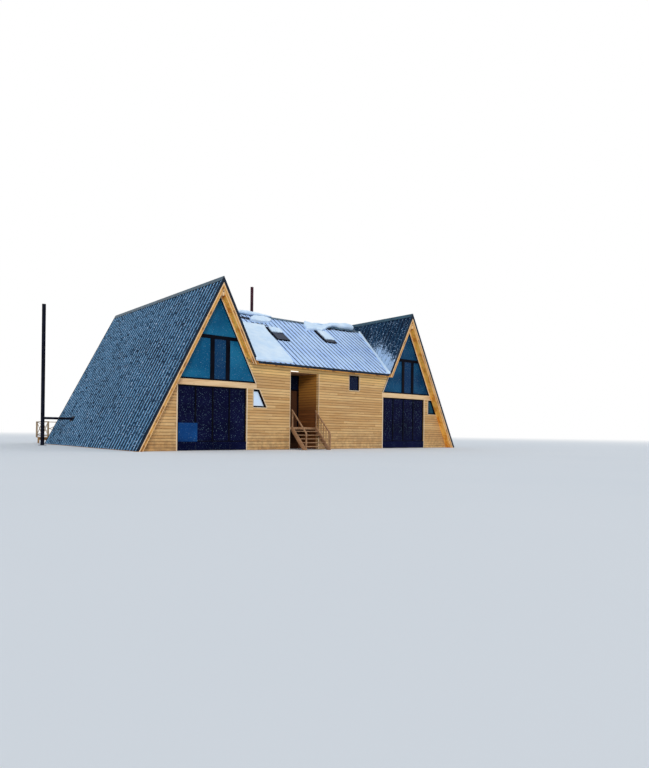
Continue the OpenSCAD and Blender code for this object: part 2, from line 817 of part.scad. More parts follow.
// Entrance stair
module stringer()
    along_x(0, stringer_t) polygon([
        [0, stringer_top(0)], [0, stringer_top(0) - stringer_v],
        [-(stringer_top(0) - stringer_v) / stair_m, 0], [stair_front, 0],
        [stair_front, stringer_top(stair_front)]
    ]);
module stair_stringers() color("peru") at_origin() {
    translate([stair_x, 0, 0]) stringer();
    translate([stair_right - stringer_t, 0, 0]) stringer();
}
module stair_treads() color("peru") at_origin()
    for (i = [1 : risers - 1])
        box(stair_x + stringer_t, stair_right - stringer_t,
            -(i - 1) * going - tread_w, -(i - 1) * going,
            mid_floor_z - i * rise - tread_t, mid_floor_z - i * rise);

// Handrail between two posts that stand on a stringer
module rail_post(y0)
    along_x(0, stringer_t) polygon([
        [y0, stringer_top(y0)], [y0, rail_top(y0)],
        [y0 + stair_post, rail_top(y0 + stair_post)], [y0 + stair_post, stringer_top(y0 + stair_post)]
    ]);
module stair_rail() {
    rail_post(-stair_post - post_back);
    rail_post(stair_front);
    along_x((stringer_t - handrail) / 2, (stringer_t + handrail) / 2) polygon([
        [stair_front, rail_top(stair_front)], [stair_front, rail_top(stair_front) - handrail_v],
        [0, rail_top(0) - handrail_v], [0, rail_top(0)]
    ]);
}
module balusters()
    for (y = [-stair_post - post_back - baluster_step : -baluster_step : stair_front + stair_post + baluster])
        along_x((stringer_t - baluster) / 2, (stringer_t + baluster) / 2) polygon([
            [y, stringer_top(y)], [y, rail_top(y) - lap],
            [y + baluster, rail_top(y + baluster) - lap], [y + baluster, stringer_top(y + baluster)]
        ]);
module stair_railings() color("burlywood") at_origin() {
    translate([stair_x, 0, 0]) stair_rail();
    translate([stair_right - stringer_t, 0, 0]) {
        stair_rail();
        balusters();
    }
}

// Gable glazing
function inner_half(z) = inside(z) - gable_frame_w / sin(slope_a);
module gable_outline()
    difference() {
        polygon([
            [-inside(loft_z), loft_z], [inside(loft_z), loft_z], [0, ridge_h - (roof_w + seat_w) * tan_a]
        ]);
        translate([-ridge_beam_w / 2 - seat, ridge_beam_z - seat])
            square([ridge_beam_w + 2 * seat, ridge_h - ridge_beam_z]);
    }
module gable_cells() {
    polygon([
        [-inner_half(transom_top), transom_top], [inner_half(transom_top), transom_top],
        [inner_half(top_pane_z), top_pane_z], [-inner_half(top_pane_z), top_pane_z]
    ]);
    polygon([
        [-inner_half(sill_top), sill_top], [door_light_x - mullion_w, sill_top],
        [door_light_x - mullion_w, transom_low], [-inner_half(transom_low), transom_low]
    ]);
    polygon([
        [door_light_x, sill_top], [door_light_right, sill_top],
        [door_light_right, transom_low], [door_light_x, transom_low]
    ]);
    polygon([
        [door_light_right + mullion_w, sill_top], [inner_half(sill_top), sill_top],
        [inner_half(transom_low), transom_low], [door_light_right + mullion_w, transom_low]
    ]);
}
module frame_of_gable()
    along_y(frame_back, frame_back + frame_d) difference() {
        gable_outline();
        gable_cells();
    }
module in_frame()
    along_y(glass_y, glass_y + glass_t) children();
module gable_frames() color("black") at_origin()
    each_house() {
        frame_of_gable();
        to_rear() frame_of_gable();
    }
module gable_glass() color("teal") at_origin()
    each_house() {
        in_frame() gable_cells();
        to_rear() in_frame() gable_cells();
    }

// Patio glazing
module patio_cells()
    for (i = [0 : patio_leaves - 1])
        translate([patio_x + patio_bar + i * (leaf_w + patio_bar), patio_z0 + patio_bar])
            square([leaf_w, patio_h - 2 * patio_bar]);
module patio_frame()
    along_y(frame_back, frame_back + frame_d) difference() {
        translate([patio_x + seat, patio_z0]) square([patio_w - 2 * seat, patio_h - seat]);
        patio_cells();
    }
module patio_frames() color("black") at_origin()
    each_house() {
        patio_frame();
        to_rear() patio_frame();
    }
module patio_glass() color("midnightblue") at_origin()
    each_house() {
        in_frame() patio_cells();
        to_rear() in_frame() patio_cells();
    }

// Slanted and square windows
module slant_frame()
    along_y(frame_back, frame_back + frame_d) difference() {
        slant_outline(0);
        slant_outline(small_bar);
    }
module square_frame()
    along_y(frame_back, frame_back + frame_d) difference() {
        small_window_outline(0);
        small_window_outline(small_bar);
    }
module square_windows() {
    children();
    to_mid_rear() {
        children();
        other_half() children();
    }
}
module small_window_frames() color("black") at_origin() {
    each_house() {
        slant_frame();
        to_rear() slant_frame();
    }
    square_windows() square_frame();
}
module small_window_glass() color("lightblue") at_origin() {
    each_house() {
        in_frame() slant_outline(small_bar);
        to_rear() in_frame() slant_outline(small_bar);
    }
    square_windows() in_frame() small_window_outline(small_bar);
    light_way(porch_depth + frame_back - glass_t, porch_depth + frame_back);
}

// Metal trims over the outer part of the A-frames' fascia boards, over the upper part of the middle
// roof's eave boards, and in the valleys
module verge_trim(side, y0, low)
    intersection() {
        along_y(y0, y0 + trim_t)
            slope_section(side, -trim_t, trim_face / sin(slope_a));
        box(-far, far, y0 - 1, y0 + trim_t + 1, low, ridge_h + far);
    }
module verge_trims() color("darkslategray") at_origin() {
    each_house() {
        verge_trim(-1, verge_rear, sheet_low);
        verge_trim(1, verge_rear, sheet_low);
    }
    verge_trim(-1, verge_front - trim_t, sheet_low);
    verge_trim(1, verge_front - trim_t, mid_out(verge_front));
    translate([aframe_spacing, 0, 0]) {
        verge_trim(1, verge_front - trim_t, sheet_low);
        verge_trim(-1, verge_front - trim_t, mid_out(verge_front));
    }
    eave_trim();
    to_mid_rear() eave_trim();
    valley_strip(1);
    translate([aframe_spacing, 0, 0]) valley_strip(-1);
}
module eave_trim()
    difference() {
        box(0, aframe_spacing, -eave_overhang - trim_t, -eave_overhang,
            mid_top(-eave_overhang) - eave_trim_h, mid_top(-eave_overhang));
        between_houses(-seat_w, -eave_overhang - trim_t - 1, 0);
    }

// Fills the gap that an inner slope's sheet leaves around the middle roof
module valley_strip(side)
    difference() {
        intersection() {
            along_y(verge_front, mid_depth + eave_overhang + valley_gap)
                slope_section(side, seat_w, sheet_w - seat_w);
            along_x(-far, far) mid_house_outline(valley_gap - seat);
        }
        along_x(-far, far) mid_house_outline(seat);
    }

// A pipe of a given height, open at its mouth
module pipe(d, h)
    difference() {
        cylinder(h = h, d = d, $fn = pipe_fn);
        translate([0, 0, h - pipe_mouth]) cylinder(h = pipe_mouth + 1, d = d - 2 * pipe_wall, $fn = pipe_fn);
    }

// Flue stack on its foot, with a branch into the left slope and a boot plate on the ribs there
module flue_stack() color("black") at_origin() {
    translate([-flue_x, flue_y, 0]) {
        pipe(flue_d, flue_h);
        cylinder(h = foot_t, d = flue_foot, $fn = pipe_fn);
    }
    difference() {
        translate([-flue_x, flue_y, branch_z]) rotate([0, 90, 0])
            cylinder(h = flue_x - outer(branch_z) + branch_d, d = branch_d, $fn = pipe_fn);
        along_y(0, house_depth) slope_section(-1, 0, flue_x);
    }
    translate([-outer(branch_z), flue_y, branch_z]) rotate([0, 90 - slope_a, 0])
        translate([-boot_t, -boot_w / 2, -boot_l / 2]) cube([boot_t, boot_w, boot_l]);
}

// Chimney through the middle roof's rear slope, with its boot plate on the ribs
module roof_chimney() color("black") at_origin()
    translate([chimney_x, mid_ridge_y + chimney_back, chimney_foot]) {
        difference() {
            translate([0, 0, -boot_l]) pipe(chimney_d, boot_l + chimney_top - chimney_foot);
            rotate([-mid_pitch, 0, 0]) translate([-boot_w, -boot_w, -2 * boot_w])
                cube([2 * boot_w, 2 * boot_w, 2 * boot_w]);
        }
        rotate([-mid_pitch, 0, 0]) translate([-boot_w / 2, -boot_l / 2, 0]) cube([boot_w, boot_l, boot_t]);
    }

// Rear decks with cross-braced railings
module rear_deck() {
    board_z = floor_z - rear_board_t;
    box(-deck_front_half, deck_front_half, house_depth, deck_y0 + deck_clear + lap, board_z, floor_z);
    box(-rear_deck_half, rear_deck_half, deck_y0 + deck_clear, deck_y1, board_z, floor_z);
    for (y = deck_lines) {
        box(-rear_deck_half + deck_in, rear_deck_half - deck_in, y, y + deck_post,
            board_z - bearer_h, board_z + lap);
        for (i = [0 : 3])
            translate([-rear_deck_half + deck_in + i * deck_post_gap, y, 0])
                cube([deck_post, deck_post, board_z - bearer_h + lap]);
    }
}
module rear_decks() color("peru") at_origin()
    each_house() rear_deck();

// A flat railing along X from x = 0 to l, with posts at both ends of every bay
module railing(l, bays, first_post, last_post) {
    bay = (l - deck_post) / bays;
    for (i = [(first_post ? 0 : 1) : (last_post ? bays : bays - 1)])
        box(i * bay, i * bay + deck_post, 0, deck_post, 0, deck_rail_h);
    for (i = [0 : bays - 1])
        translate([i * bay + deck_post, (deck_post - deck_rail) / 2, 0]) {
            w = bay - deck_post;
            start = first_post || i > 0 ? -lap : seat;
            box(start, w + lap, 0, deck_rail, deck_rail_h - deck_rail, deck_rail_h);
            box(start, w + lap, 0, deck_rail, rail_low, rail_low + deck_rail);
            cross(w, deck_rail_h - deck_rail - rail_low - deck_rail, rail_low + deck_rail);
        }
}
module cross(w, h, z0)
    translate([0, (deck_rail - deck_brace) / 2, 0])
        along_y(0, deck_brace)
            intersection() {
                translate([seat, z0 - lap]) square([w - seat, h + 2 * lap]);
                union() {
                    translate([0, z0]) rotate(atan2(h, w)) brace(norm([w, h]));
                    translate([0, z0 + h]) rotate(-atan2(h, w)) brace(norm([w, h]));
                }
            }
module brace(l)
    translate([-deck_post, -deck_brace / 2]) square([l + 2 * deck_post, deck_brace]);
module side_railing()
    translate([-rear_deck_half + deck_post, deck_y1 - side_l, floor_z]) rotate([0, 0, 90])
        railing(side_l, side_bays, true, true);
module rear_railing()
    translate([-rear_deck_half, deck_y1 - deck_post, floor_z])
        railing(rear_l, rear_bays, false, true);
module deck_side_railings() color("burlywood") at_origin()
    each_house() {
        side_railing();
        mirror([1, 0, 0]) side_railing();
    }
module deck_rear_railings() color("burlywood") at_origin()
    each_house() {
        rear_railing();
        mirror([1, 0, 0]) rear_railing();
    }

ground_slabs();
middle_floor();
loft_floors();
left_outer_deck();
left_inner_deck();
right_inner_deck();
right_outer_deck();
left_outer_sheet();
left_inner_sheet();
right_inner_sheet();
right_outer_sheet();
middle_front_deck();
middle_rear_deck();
middle_front_sheet();
middle_rear_sheet();
ridge_caps();
verge_trims();
fascia_boards();
front_wall_left();
front_wall_mid_left();
front_wall_over_door();
front_wall_mid_right();
front_wall_right();
loft_beams();
rear_walls();
porch_side_walls();
porch_back_wall();
porch_floor_and_ceiling();
door_frame();
entrance_door();
stair_stringers();
stair_treads();
stair_railings();
gable_frames();
gable_glass();
patio_frames();
patio_glass();
small_window_frames();
small_window_glass();
roof_windows();
flue_stack();
roof_chimney();
rear_decks();
deck_side_railings();
deck_rear_railings();
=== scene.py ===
import json
import math

import bpy
from mathutils import Matrix, Vector

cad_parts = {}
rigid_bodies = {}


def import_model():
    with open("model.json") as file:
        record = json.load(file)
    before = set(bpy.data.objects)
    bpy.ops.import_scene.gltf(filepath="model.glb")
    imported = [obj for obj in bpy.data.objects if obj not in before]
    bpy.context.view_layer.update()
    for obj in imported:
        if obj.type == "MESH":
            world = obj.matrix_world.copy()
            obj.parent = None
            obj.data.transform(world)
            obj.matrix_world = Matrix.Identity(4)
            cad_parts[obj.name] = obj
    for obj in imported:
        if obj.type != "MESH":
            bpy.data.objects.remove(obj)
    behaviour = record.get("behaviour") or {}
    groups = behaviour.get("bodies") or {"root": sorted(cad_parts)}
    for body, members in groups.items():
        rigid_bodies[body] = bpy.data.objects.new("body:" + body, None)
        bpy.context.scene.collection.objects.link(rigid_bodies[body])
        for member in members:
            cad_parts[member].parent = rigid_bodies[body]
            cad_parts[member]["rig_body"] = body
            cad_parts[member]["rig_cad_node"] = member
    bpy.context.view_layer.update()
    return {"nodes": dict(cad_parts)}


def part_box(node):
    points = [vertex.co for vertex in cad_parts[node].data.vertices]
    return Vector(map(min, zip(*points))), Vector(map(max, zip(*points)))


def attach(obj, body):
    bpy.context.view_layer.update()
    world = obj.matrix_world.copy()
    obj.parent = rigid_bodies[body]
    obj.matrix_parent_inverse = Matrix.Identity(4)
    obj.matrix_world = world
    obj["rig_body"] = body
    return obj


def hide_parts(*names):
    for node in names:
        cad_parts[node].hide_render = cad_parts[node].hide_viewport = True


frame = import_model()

nodes = frame["nodes"]

# Places of the building, read from the frame
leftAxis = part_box("left_outer_deck")[1].x
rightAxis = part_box("right_outer_deck")[0].x
spacing = rightAxis - leftAxis
halfWay = leftAxis + spacing / 2
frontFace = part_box("front_wall_left")[0].y
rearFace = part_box("ground_slabs")[1].y
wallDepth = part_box("front_wall_left")[1].y - frontFace
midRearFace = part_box("middle_floor")[1].y + wallDepth
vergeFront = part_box("fascia_boards")[0].y
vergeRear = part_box("fascia_boards")[1].y
beamLow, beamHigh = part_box("loft_beams")[0].z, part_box("front_wall_left")[1].z
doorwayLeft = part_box("porch_back_wall")[0].x
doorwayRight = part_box("porch_back_wall")[1].x
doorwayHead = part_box("porch_side_walls")[1].z
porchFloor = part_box("stair_treads")[1].z
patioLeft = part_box("patio_frames")[0].x - leftAxis
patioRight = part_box("patio_frames")[1].x - rightAxis
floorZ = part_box("patio_frames")[0].z
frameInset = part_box("patio_frames")[0].y - frontFace    # glazing frames behind the wall face

aframe = dict(
    pitch=math.radians(62.9),   # slope of the A-frames
    ridge=8.43,                 # height of the ridge over the ribs
    sheet=0.0406,               # ribs and seat, square to the slope
    deck=0.26,                  # roof deck, square to the slope
    fascia=0.03,                # thickness of the boards that close the verges
)
middle = dict(
    pitch=math.radians(35.45),
    ridgeY=4.227,               # ridge behind the front wall's face
    ridge=7.86,
    overhang=0.42,
)
beamHalf = 0.05                 # half the ridge beams' width
aframeSlope = math.tan(aframe["pitch"])
middleSlope = math.tan(middle["pitch"])
roofWide = (aframe["sheet"] + aframe["deck"]) / math.sin(aframe["pitch"])   # measured level


def place(x, y, z):
    # x from the left A-frame's centre, y from the front wall's face, z from the ground
    return Vector((leftAxis + x, frontFace + y, z))


def outerHalf(z):
    # from an A-frame's centre to the outside of its roof, at height z
    return (aframe["ridge"] - z) / aframeSlope


def underHalf(z):
    return outerHalf(z) - roofWide


def apexHeight(gap):
    # where the roof's underside is gap metres away from the side of a ridge beam
    return aframe["ridge"] - (beamHalf + gap + roofWide) * aframeSlope


# Selection and modelling helpers

def clearSelection():
    if bpy.context.object and bpy.context.object.mode != "OBJECT":
        bpy.ops.object.mode_set(mode="OBJECT")
    bpy.ops.object.select_all(action="DESELECT")


def activate(piece):
    clearSelection()
    piece.hide_viewport = False
    piece.select_set(True)
    bpy.context.view_layer.objects.active = piece


def settle(piece):
    # puts the piece's place, turn and size into its mesh
    activate(piece)
    bpy.ops.object.transform_apply(location=True, rotation=True, scale=True)


def addBlock(name, low, high):
    clearSelection()
    low, high = Vector(low), Vector(high)
    bpy.ops.mesh.primitive_cube_add(size=1, location=(low + high) / 2)
    block = bpy.context.object
    block.name = name
    block.scale = high - low
    settle(block)
    return block


def addPrism(name, sides, radius, start, end):
    # a bar of a few sides between two points
    clearSelection()
    start, end = Vector(start), Vector(end)
    run = end - start
    bpy.ops.mesh.primitive_cylinder_add(vertices=sides, radius=radius, depth=run.length)
    bar = bpy.context.object
    bar.name = name
    aim = run.to_track_quat("Z", "Y").to_matrix().to_4x4()
    bar.matrix_world = Matrix.Translation((start + end) / 2) @ aim
    settle(bar)
    return bar


def addPlank(name, start, end, width, thick, across):
    # a straight board from start to end, its width along across
    clearSelection()
    start, end = Vector(start), Vector(end)
    along = (end - start).normalized()
    across = Vector(across).normalized()
    bpy.ops.mesh.primitive_cube_add(size=1)
    board = bpy.context.object
    board.name = name
    turn = Matrix((along, across, along.cross(across))).transposed().to_4x4()
    size = Matrix.Diagonal(((end - start).length, width, thick, 1))
    board.matrix_world = Matrix.Translation((start + end) / 2) @ turn @ size
    settle(board)
    return board


def addOutline(name, points):
    # a flat face drawn corner by corner
    clearSelection()
    bpy.ops.mesh.primitive_plane_add(size=0.01, location=points[0])
    shape = bpy.context.object
    shape.name = name
    settle(shape)
    bpy.ops.object.mode_set(mode="EDIT")
    bpy.ops.mesh.select_all(action="SELECT")
    bpy.ops.mesh.merge(type="CENTER")
    bpy.ops.mesh.select_mode(type="VERT")
    bpy.ops.mesh.select_all(action="SELECT")
    for here, there in zip(points, points[1:]):
        step = Vector(there) - Vector(here)
        bpy.ops.mesh.extrude_vertices_move(TRANSFORM_OT_translate={"value": step})
    bpy.ops.mesh.select_all(action="SELECT")
    bpy.ops.mesh.edge_face_add()
    bpy.ops.object.mode_set(mode="OBJECT")
    return shape


def applyModifier(piece, kind, **settings):
    activate(piece)
    bpy.ops.object.modifier_add(type=kind)
    modifier = piece.modifiers[-1]
    for key, value in settings.items():
        setattr(modifier, key, value)
    bpy.ops.object.modifier_apply(modifier=modifier.name)


def softenEdges(piece, width, segments=2):
    applyModifier(piece, "BEVEL", width=width, segments=segments, limit_method="ANGLE",
                  angle_limit=math.radians(30), harden_normals=False)


def shadeByAngle(piece, angle=30):
    activate(piece)
    bpy.ops.object.shade_smooth_by_angle(angle=math.radians(angle))


def repeat(piece, count, step):
    applyModifier(piece, "ARRAY", count=count, use_relative_offset=False,
                  use_constant_offset=True, constant_offset_displace=step)


def joinAll(name, parts):
    clearSelection()
    for part in parts:
        part.select_set(True)
    bpy.context.view_layer.objects.active = parts[0]
    bpy.ops.object.join()
    joined = bpy.context.object
    joined.name = name
    return joined


def copyNode(node, name):
    # a merged copy of a CAD node, ready for more work
    activate(nodes[node])
    bpy.ops.object.duplicate(linked=False)
    piece = bpy.context.object
    bpy.ops.object.parent_clear(type="CLEAR_KEEP_TRANSFORM")
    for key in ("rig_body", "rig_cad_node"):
        if key in piece:
            del piece[key]
    piece.name = name
    piece.data.materials.clear()
    bpy.ops.object.mode_set(mode="EDIT")
    bpy.ops.mesh.select_all(action="SELECT")
    bpy.ops.mesh.remove_doubles(threshold=0.00002)
    bpy.ops.mesh.dissolve_limited(angle_limit=math.radians(0.3))
    bpy.ops.object.mode_set(mode="OBJECT")
    return piece


def cutAway(piece, cutter):
    applyModifier(piece, "BOOLEAN", operation="DIFFERENCE", object=cutter, solver="EXACT",
                  use_self=True)
    bpy.data.objects.remove(cutter)


def finishPiece(piece, material, body="house", replaced=()):
    piece.data.materials.clear()
    piece.data.materials.append(material)
    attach(piece, body)
    if replaced:
        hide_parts(*replaced)
    return piece


# Materials: a recipe holds one node tree, a wire is the output of one of its nodes

class Wire:
    def __init__(self, recipe, socket):
        self.recipe = recipe
        self.socket = socket

    def combine(self, operation, first, second):
        return self.recipe.node("Math", {"operation": operation}, {0: first, 1: second})

    def __add__(self, other):
        return self.combine("ADD", self, other)

    def __radd__(self, other):
        return self.combine("ADD", other, self)

    def __sub__(self, other):
        return self.combine("SUBTRACT", self, other)

    def __rsub__(self, other):
        return self.combine("SUBTRACT", other, self)

    def __mul__(self, other):
        return self.combine("MULTIPLY", self, other)

    def __rmul__(self, other):
        return self.combine("MULTIPLY", other, self)

    def __truediv__(self, other):
        return self.combine("DIVIDE", self, other)

    def __gt__(self, other):
        return self.combine("GREATER_THAN", self, other)

    def __lt__(self, other):
        return self.combine("LESS_THAN", self, other)

    def __mod__(self, other):
        return self.combine("FLOORED_MODULO", self, other)

    def floor(self):
        return self.combine("FLOOR", self, 0.0)

    def size(self):
        return self.combine("ABSOLUTE", self, 0.0)

    def most(self, other):
        return self.combine("MAXIMUM", self, other)

    def ramp(self, low, high):
        # 0 below low, 1 above high, smooth between them
        return self.recipe.node("MapRange", {"interpolation_type": "SMOOTHSTEP"},
                                {"Value": self, "From Min": low, "From Max": high})


class Recipe:
    def __init__(self, name, roughness, specular, metallic=0.0):
        self.material = bpy.data.materials.new(name)
        self.material.use_nodes = True
        self.tree = self.material.node_tree
        self.shader = self.tree.nodes["Principled BSDF"]
        self.shader.inputs["Roughness"].default_value = roughness
        self.shader.inputs["Metallic"].default_value = metallic
        self.shader.inputs["Specular IOR Level"].default_value = specular
        self.where = self.node("TexCoord", {}, {}, "Object")
        self.x, self.y, self.z = (self.node("SeparateXYZ", {}, {0: self.where}, i) for i in range(3))

    def node(self, kind, settings, sockets, output=0):
        made = self.tree.nodes.new("ShaderNode" + kind)
        for key, value in settings.items():
            setattr(made, key, value)
        for key, value in sockets.items():
            if isinstance(value, Wire):
                self.tree.links.new(value.socket, made.inputs[key])
            else:
                made.inputs[key].default_value = value
        return Wire(self, made.outputs[output])

    def feed(self, **inputs):
        for key, wire in inputs.items():
            self.tree.links.new(wire.socket, self.shader.inputs[key.replace("_", " ")])
        return self.material

    def vector(self, x, y, z):
        return self.node("CombineXYZ", {}, {0: x, 1: y, 2: z})

    def noise(self, vector, scale, detail=3.0, roughness=0.55):
        return self.node("TexNoise", {}, {"Vector": vector, "Scale": scale, "Detail": detail,
                                          "Roughness": roughness})

    def dice(self, x, y, z):
        # one random value from 0 to 1 for each whole-numbered cell
        return self.node("TexWhiteNoise", {"noise_dimensions": "3D"},
                         {"Vector": self.vector(x, y, z)})

    def cells(self, vector, scale):
        # the distance from the middle of the nearest cell
        return self.node("TexVoronoi", {}, {"Vector": vector, "Scale": scale}, "Distance")

    def blend(self, mask, first, second):
        # colours: first where the mask is 0, second where it is 1
        return self.node("Mix", {"data_type": "RGBA"}, {0: mask, 6: first, 7: second}, 2)

    def bump(self, height, strength, distance):
        return self.node("Bump", {}, {"Strength": strength, "Distance": distance, "Height": height})

    def facing(self):
        # the surface normal's part along Z
        normal = self.node("NewGeometry", {}, {}, "Normal")
        return self.node("SeparateXYZ", {}, {0: normal}, 2)


def tone(red, green, blue):
    # a colour as read on a screen, from 0 to 255, as the shader's linear values
    linear = [(c / 255 / 12.92) if c <= 10 else ((c / 255 + 0.055) / 1.055) ** 2.4
              for c in (red, green, blue)]
    return (*linear, 1.0)


# Timber: boards with their own tone, streaks along the grain, knots and dull weathering, with dirt and
# painted shade in the joints and painted light higher up where asked

cladding = dict(
    pitch=0.145,        # cover width of a board
    groove=0.0075,      # depth of the V groove between boards
    length=3.9,         # longest board
    joint=0.0045,       # depth of the groove at a butt joint
    shift=1.37,         # step of the butt joints from course to course
    overrun=0.1,        # how far the cutters of the grooves reach past a wall
)
weathering = dict(
    knot=tone(96, 58, 30),
    grey=tone(150, 128, 104),
    dirt=tone(112, 90, 68),
    # the joints' colour: dirt and painted shade in the grooves
    seamDirtAndShade=tone(84, 54, 30),
)


def timber(name, pale, mid, dark, along, across, boardPitch=0.0, boardLength=0.0,
           knots=0.5, roughness=0.62, grey=0.0, dirtBelow=0.0, calm=1.0, seamDirtAndShade=0.0, paintedLightAbove=None):
    # the seam amount darkens the joints between boards with dirt and painted shade; the band above is
    # painted light, a brighter colour given as (from z, to z, colour, amount)
    recipe = Recipe(name, roughness=roughness, specular=0.2)
    axis = {"x": recipe.x, "y": recipe.y, "z": recipe.z}
    run, rise = axis[along], axis[across]
    other = axis[({"x", "y", "z"} - {along, across}).pop()]
    boardTone = 0.5
    if boardPitch:
        course = (rise / boardPitch).floor()
        if boardLength:
            start = (course * cladding["shift"]) % boardLength
            board = ((run - start) / boardLength).floor()
        else:
            board = course * 0.0
        boardTone = recipe.dice(course, board, 3.0)
        shifted = run + 7.0 * boardTone
    else:
        shifted = run
    streaks = recipe.noise(recipe.vector(shifted * 1.3, rise * 34.0, other * 34.0), 1.0, 4.0)
    broad = recipe.noise(recipe.vector(shifted * 0.5, rise * 5.0, other * 5.0), 1.0, 2.0)
    colour = recipe.blend(streaks.ramp(0.32, 0.68), pale, mid)
    colour = recipe.blend(broad.ramp(0.42, 0.72) * (0.55 * calm), colour, dark)
    if boardPitch:
        colour = recipe.blend(boardTone.ramp(0.15, 0.95) * 0.42, colour, dark)
        colour = recipe.blend((1 - boardTone).ramp(0.55, 1.0) * 0.35, colour, pale)
    # painted light: a brighter colour from one height to the next
    if paintedLightAbove:
        fromZ, toZ, paintedLightColour, amount = paintedLightAbove
        colour = recipe.blend(recipe.z.ramp(fromZ, toZ) * amount, colour, paintedLightColour)
    if knots:
        spots = recipe.cells(recipe.vector(shifted * 2.1, rise * 7.5, other * 7.5), 1.0)
        knotMask = (1 - spots.ramp(0.05, 0.13)) * knots
        colour = recipe.blend(knotMask, colour, weathering["knot"])
    if grey:
        weather = recipe.noise(recipe.where, 0.7, 4.0).ramp(0.35, 0.75) * grey
        colour = recipe.blend(weather, colour, weathering["grey"])
    if dirtBelow:
        low = (1 - recipe.z.ramp(0.0, dirtBelow)) * 0.5
        splash = low * recipe.noise(recipe.where, 5.0, 5.0).ramp(0.3, 0.7)
        colour = recipe.blend(splash, colour, weathering["dirt"])
    # dirt and painted shade along the joints between boards
    if seamDirtAndShade:
        edge = ((rise / boardPitch) % 1.0 - 0.5).size()
        colour = recipe.blend(edge.ramp(0.33, 0.46) * seamDirtAndShade, colour, weathering["seamDirtAndShade"])
    relief = recipe.bump(streaks + 0.5 * broad, 0.35, 0.004)
    return recipe.feed(Base_Color=colour, Normal=relief)


honey = (tone(228, 190, 134), tone(206, 160, 102), tone(172, 122, 68))
# the walls' band under the eave is painted light, brighter where the overhang shades them
wallTimber = timber("wallTimber", *honey, "x", "z", cladding["pitch"], cladding["length"],
                    knots=0.6, grey=0.18, dirtBelow=1.6, calm=0.5, seamDirtAndShade=0.6,
                    paintedLightAbove=(3.6, 4.3, tone(255, 212, 138), 1.0))
beamTimber = timber("beamTimber", tone(238, 206, 164), tone(222, 184, 136), tone(190, 146, 102),
                    "x", "z", knots=0.4, grey=0.1)
casingTimber = timber("casingTimber", tone(238, 218, 190), tone(222, 198, 164), tone(198, 168, 130),
                      "z", "x", knots=0.15, grey=0.1)
# the porch sides are painted lighter towards the top: painted light over the shade in the recess
porchTimber = timber("porchTimber", tone(150, 94, 50), tone(124, 74, 38), tone(88, 48, 24),
                     "y", "z", cladding["pitch"], knots=0.5, seamDirtAndShade=0.6,
                     paintedLightAbove=(1.8, 3.6, tone(196, 136, 60), 0.8))
porchBackTimber = timber("porchBackTimber", tone(84, 54, 34), tone(62, 38, 24), tone(40, 22, 14),
                         "x", "z", cladding["pitch"], knots=0.4)
stairTimber = timber("stairTimber", tone(178, 138, 104), tone(148, 110, 80), tone(108, 74, 50),
                     "y", "z", knots=0.5, grey=0.25)
railTones = (tone(186, 164, 132), tone(142, 120, 92), tone(96, 78, 58))
sideRailTimber = timber("sideRailTimber", *railTones, "y", "z", knots=0.3, grey=0.4)
rearRailTimber = timber("rearRailTimber", *railTones, "x", "z", knots=0.3, grey=0.4)
floorTimber = timber("floorTimber", tone(200, 160, 108), tone(176, 132, 84), tone(140, 98, 58),
                     "y", "x", 0.12, 2.4, knots=0.5)


def fasciaGrain(name, pale, mid, dark, mottle, strips=None):
    # boards on the verges and under the overhangs of both A-frames, with the grain down the slope
    recipe = Recipe(name, roughness=0.6, specular=0.2)
    c, s = math.cos(aframe["pitch"]), math.sin(aframe["pitch"])
    atRight = recipe.x > halfWay
    fromAxis = (recipe.x - leftAxis - atRight * spacing).size()
    side = recipe.x > leftAxis + atRight * spacing
    run = fromAxis * c - recipe.z * s
    depth = fromAxis * s + recipe.z * c
    boardTone = recipe.dice((run / 3.2).floor(), side, 4.0)
    streaks = recipe.noise(recipe.vector(run * 1.4, recipe.y * 26.0, depth * 26.0), 1.0, 4.0)
    blotch = recipe.noise(recipe.vector(run * 3.0, recipe.y * 3.0 + side * 7.0, depth * 5.0), 1.0, 3.0)
    colour = recipe.blend(streaks.ramp(0.3, 0.7), pale, mid)
    colour = recipe.blend(blotch.ramp(0.46, 0.66) * mottle, colour, dark)
    colour = recipe.blend(boardTone * 0.25, colour, dark)
    if strips:
        # pale strips, by their distance from the top of the slope
        inside = (outerHalf(recipe.z) - fromAxis) * s
        for low, high in strips["bands"]:
            band = (inside > low) * (inside < high)
            colour = recipe.blend(band * 0.85, colour, strips["colour"])
    return recipe.feed(Base_Color=colour, Normal=recipe.bump(streaks, 0.3, 0.004))


fasciaTimber = fasciaGrain(
    "fasciaTimber", tone(226, 168, 88), tone(194, 134, 60), tone(128, 80, 34), 0.85,
    dict(colour=tone(236, 200, 158), bands=((0.135, 0.185), (0.278, 0.31))))
# golden timber under the overhangs, its colours raised near white yellow: painted light over the
# overhangs' shade
soffitTimberPaintedLight = fasciaGrain(
    "soffitTimberPaintedLight", tone(255, 212, 116), tone(255, 186, 72), tone(214, 124, 36), 0.8)


# Roof sheets: dark coated steel with snow caught on them

sheetCoat = dict(
    dark=tone(2, 26, 50),
    teal=tone(6, 46, 74),
    shade=tone(2, 16, 42),
    # the rib tops' colour: snow dust and a painted highlight
    rib=tone(10, 54, 88),
    frost=tone(140, 194, 238),
    snow=tone(178, 206, 238),
    pitch=0.333,            # of the ribs
    firstRib=0.1185,        # from the verge to the first rib
    ribFoot=0.084,          # a rib's width at its foot
    ribHalf=(0.016, 0.03),  # half a rib's width at its top and where its colour ends
    line=0.033,             # the line of caught snow in front of a rib's middle
    lineHalf=(0.004, 0.014),    # half its width, where it is full and where it ends
    dip=0.07,               # the shade behind a rib's middle
    dipHalf=(0.03, 0.06),   # half its width, in the same way
)


def acrossRibs(run, firstRib):
    # the distance from the nearest rib's middle, below 0 before it
    phase = ((run - firstRib) / sheetCoat["pitch"] + 0.5) % 1.0
    return (phase - 0.5) * sheetCoat["pitch"]


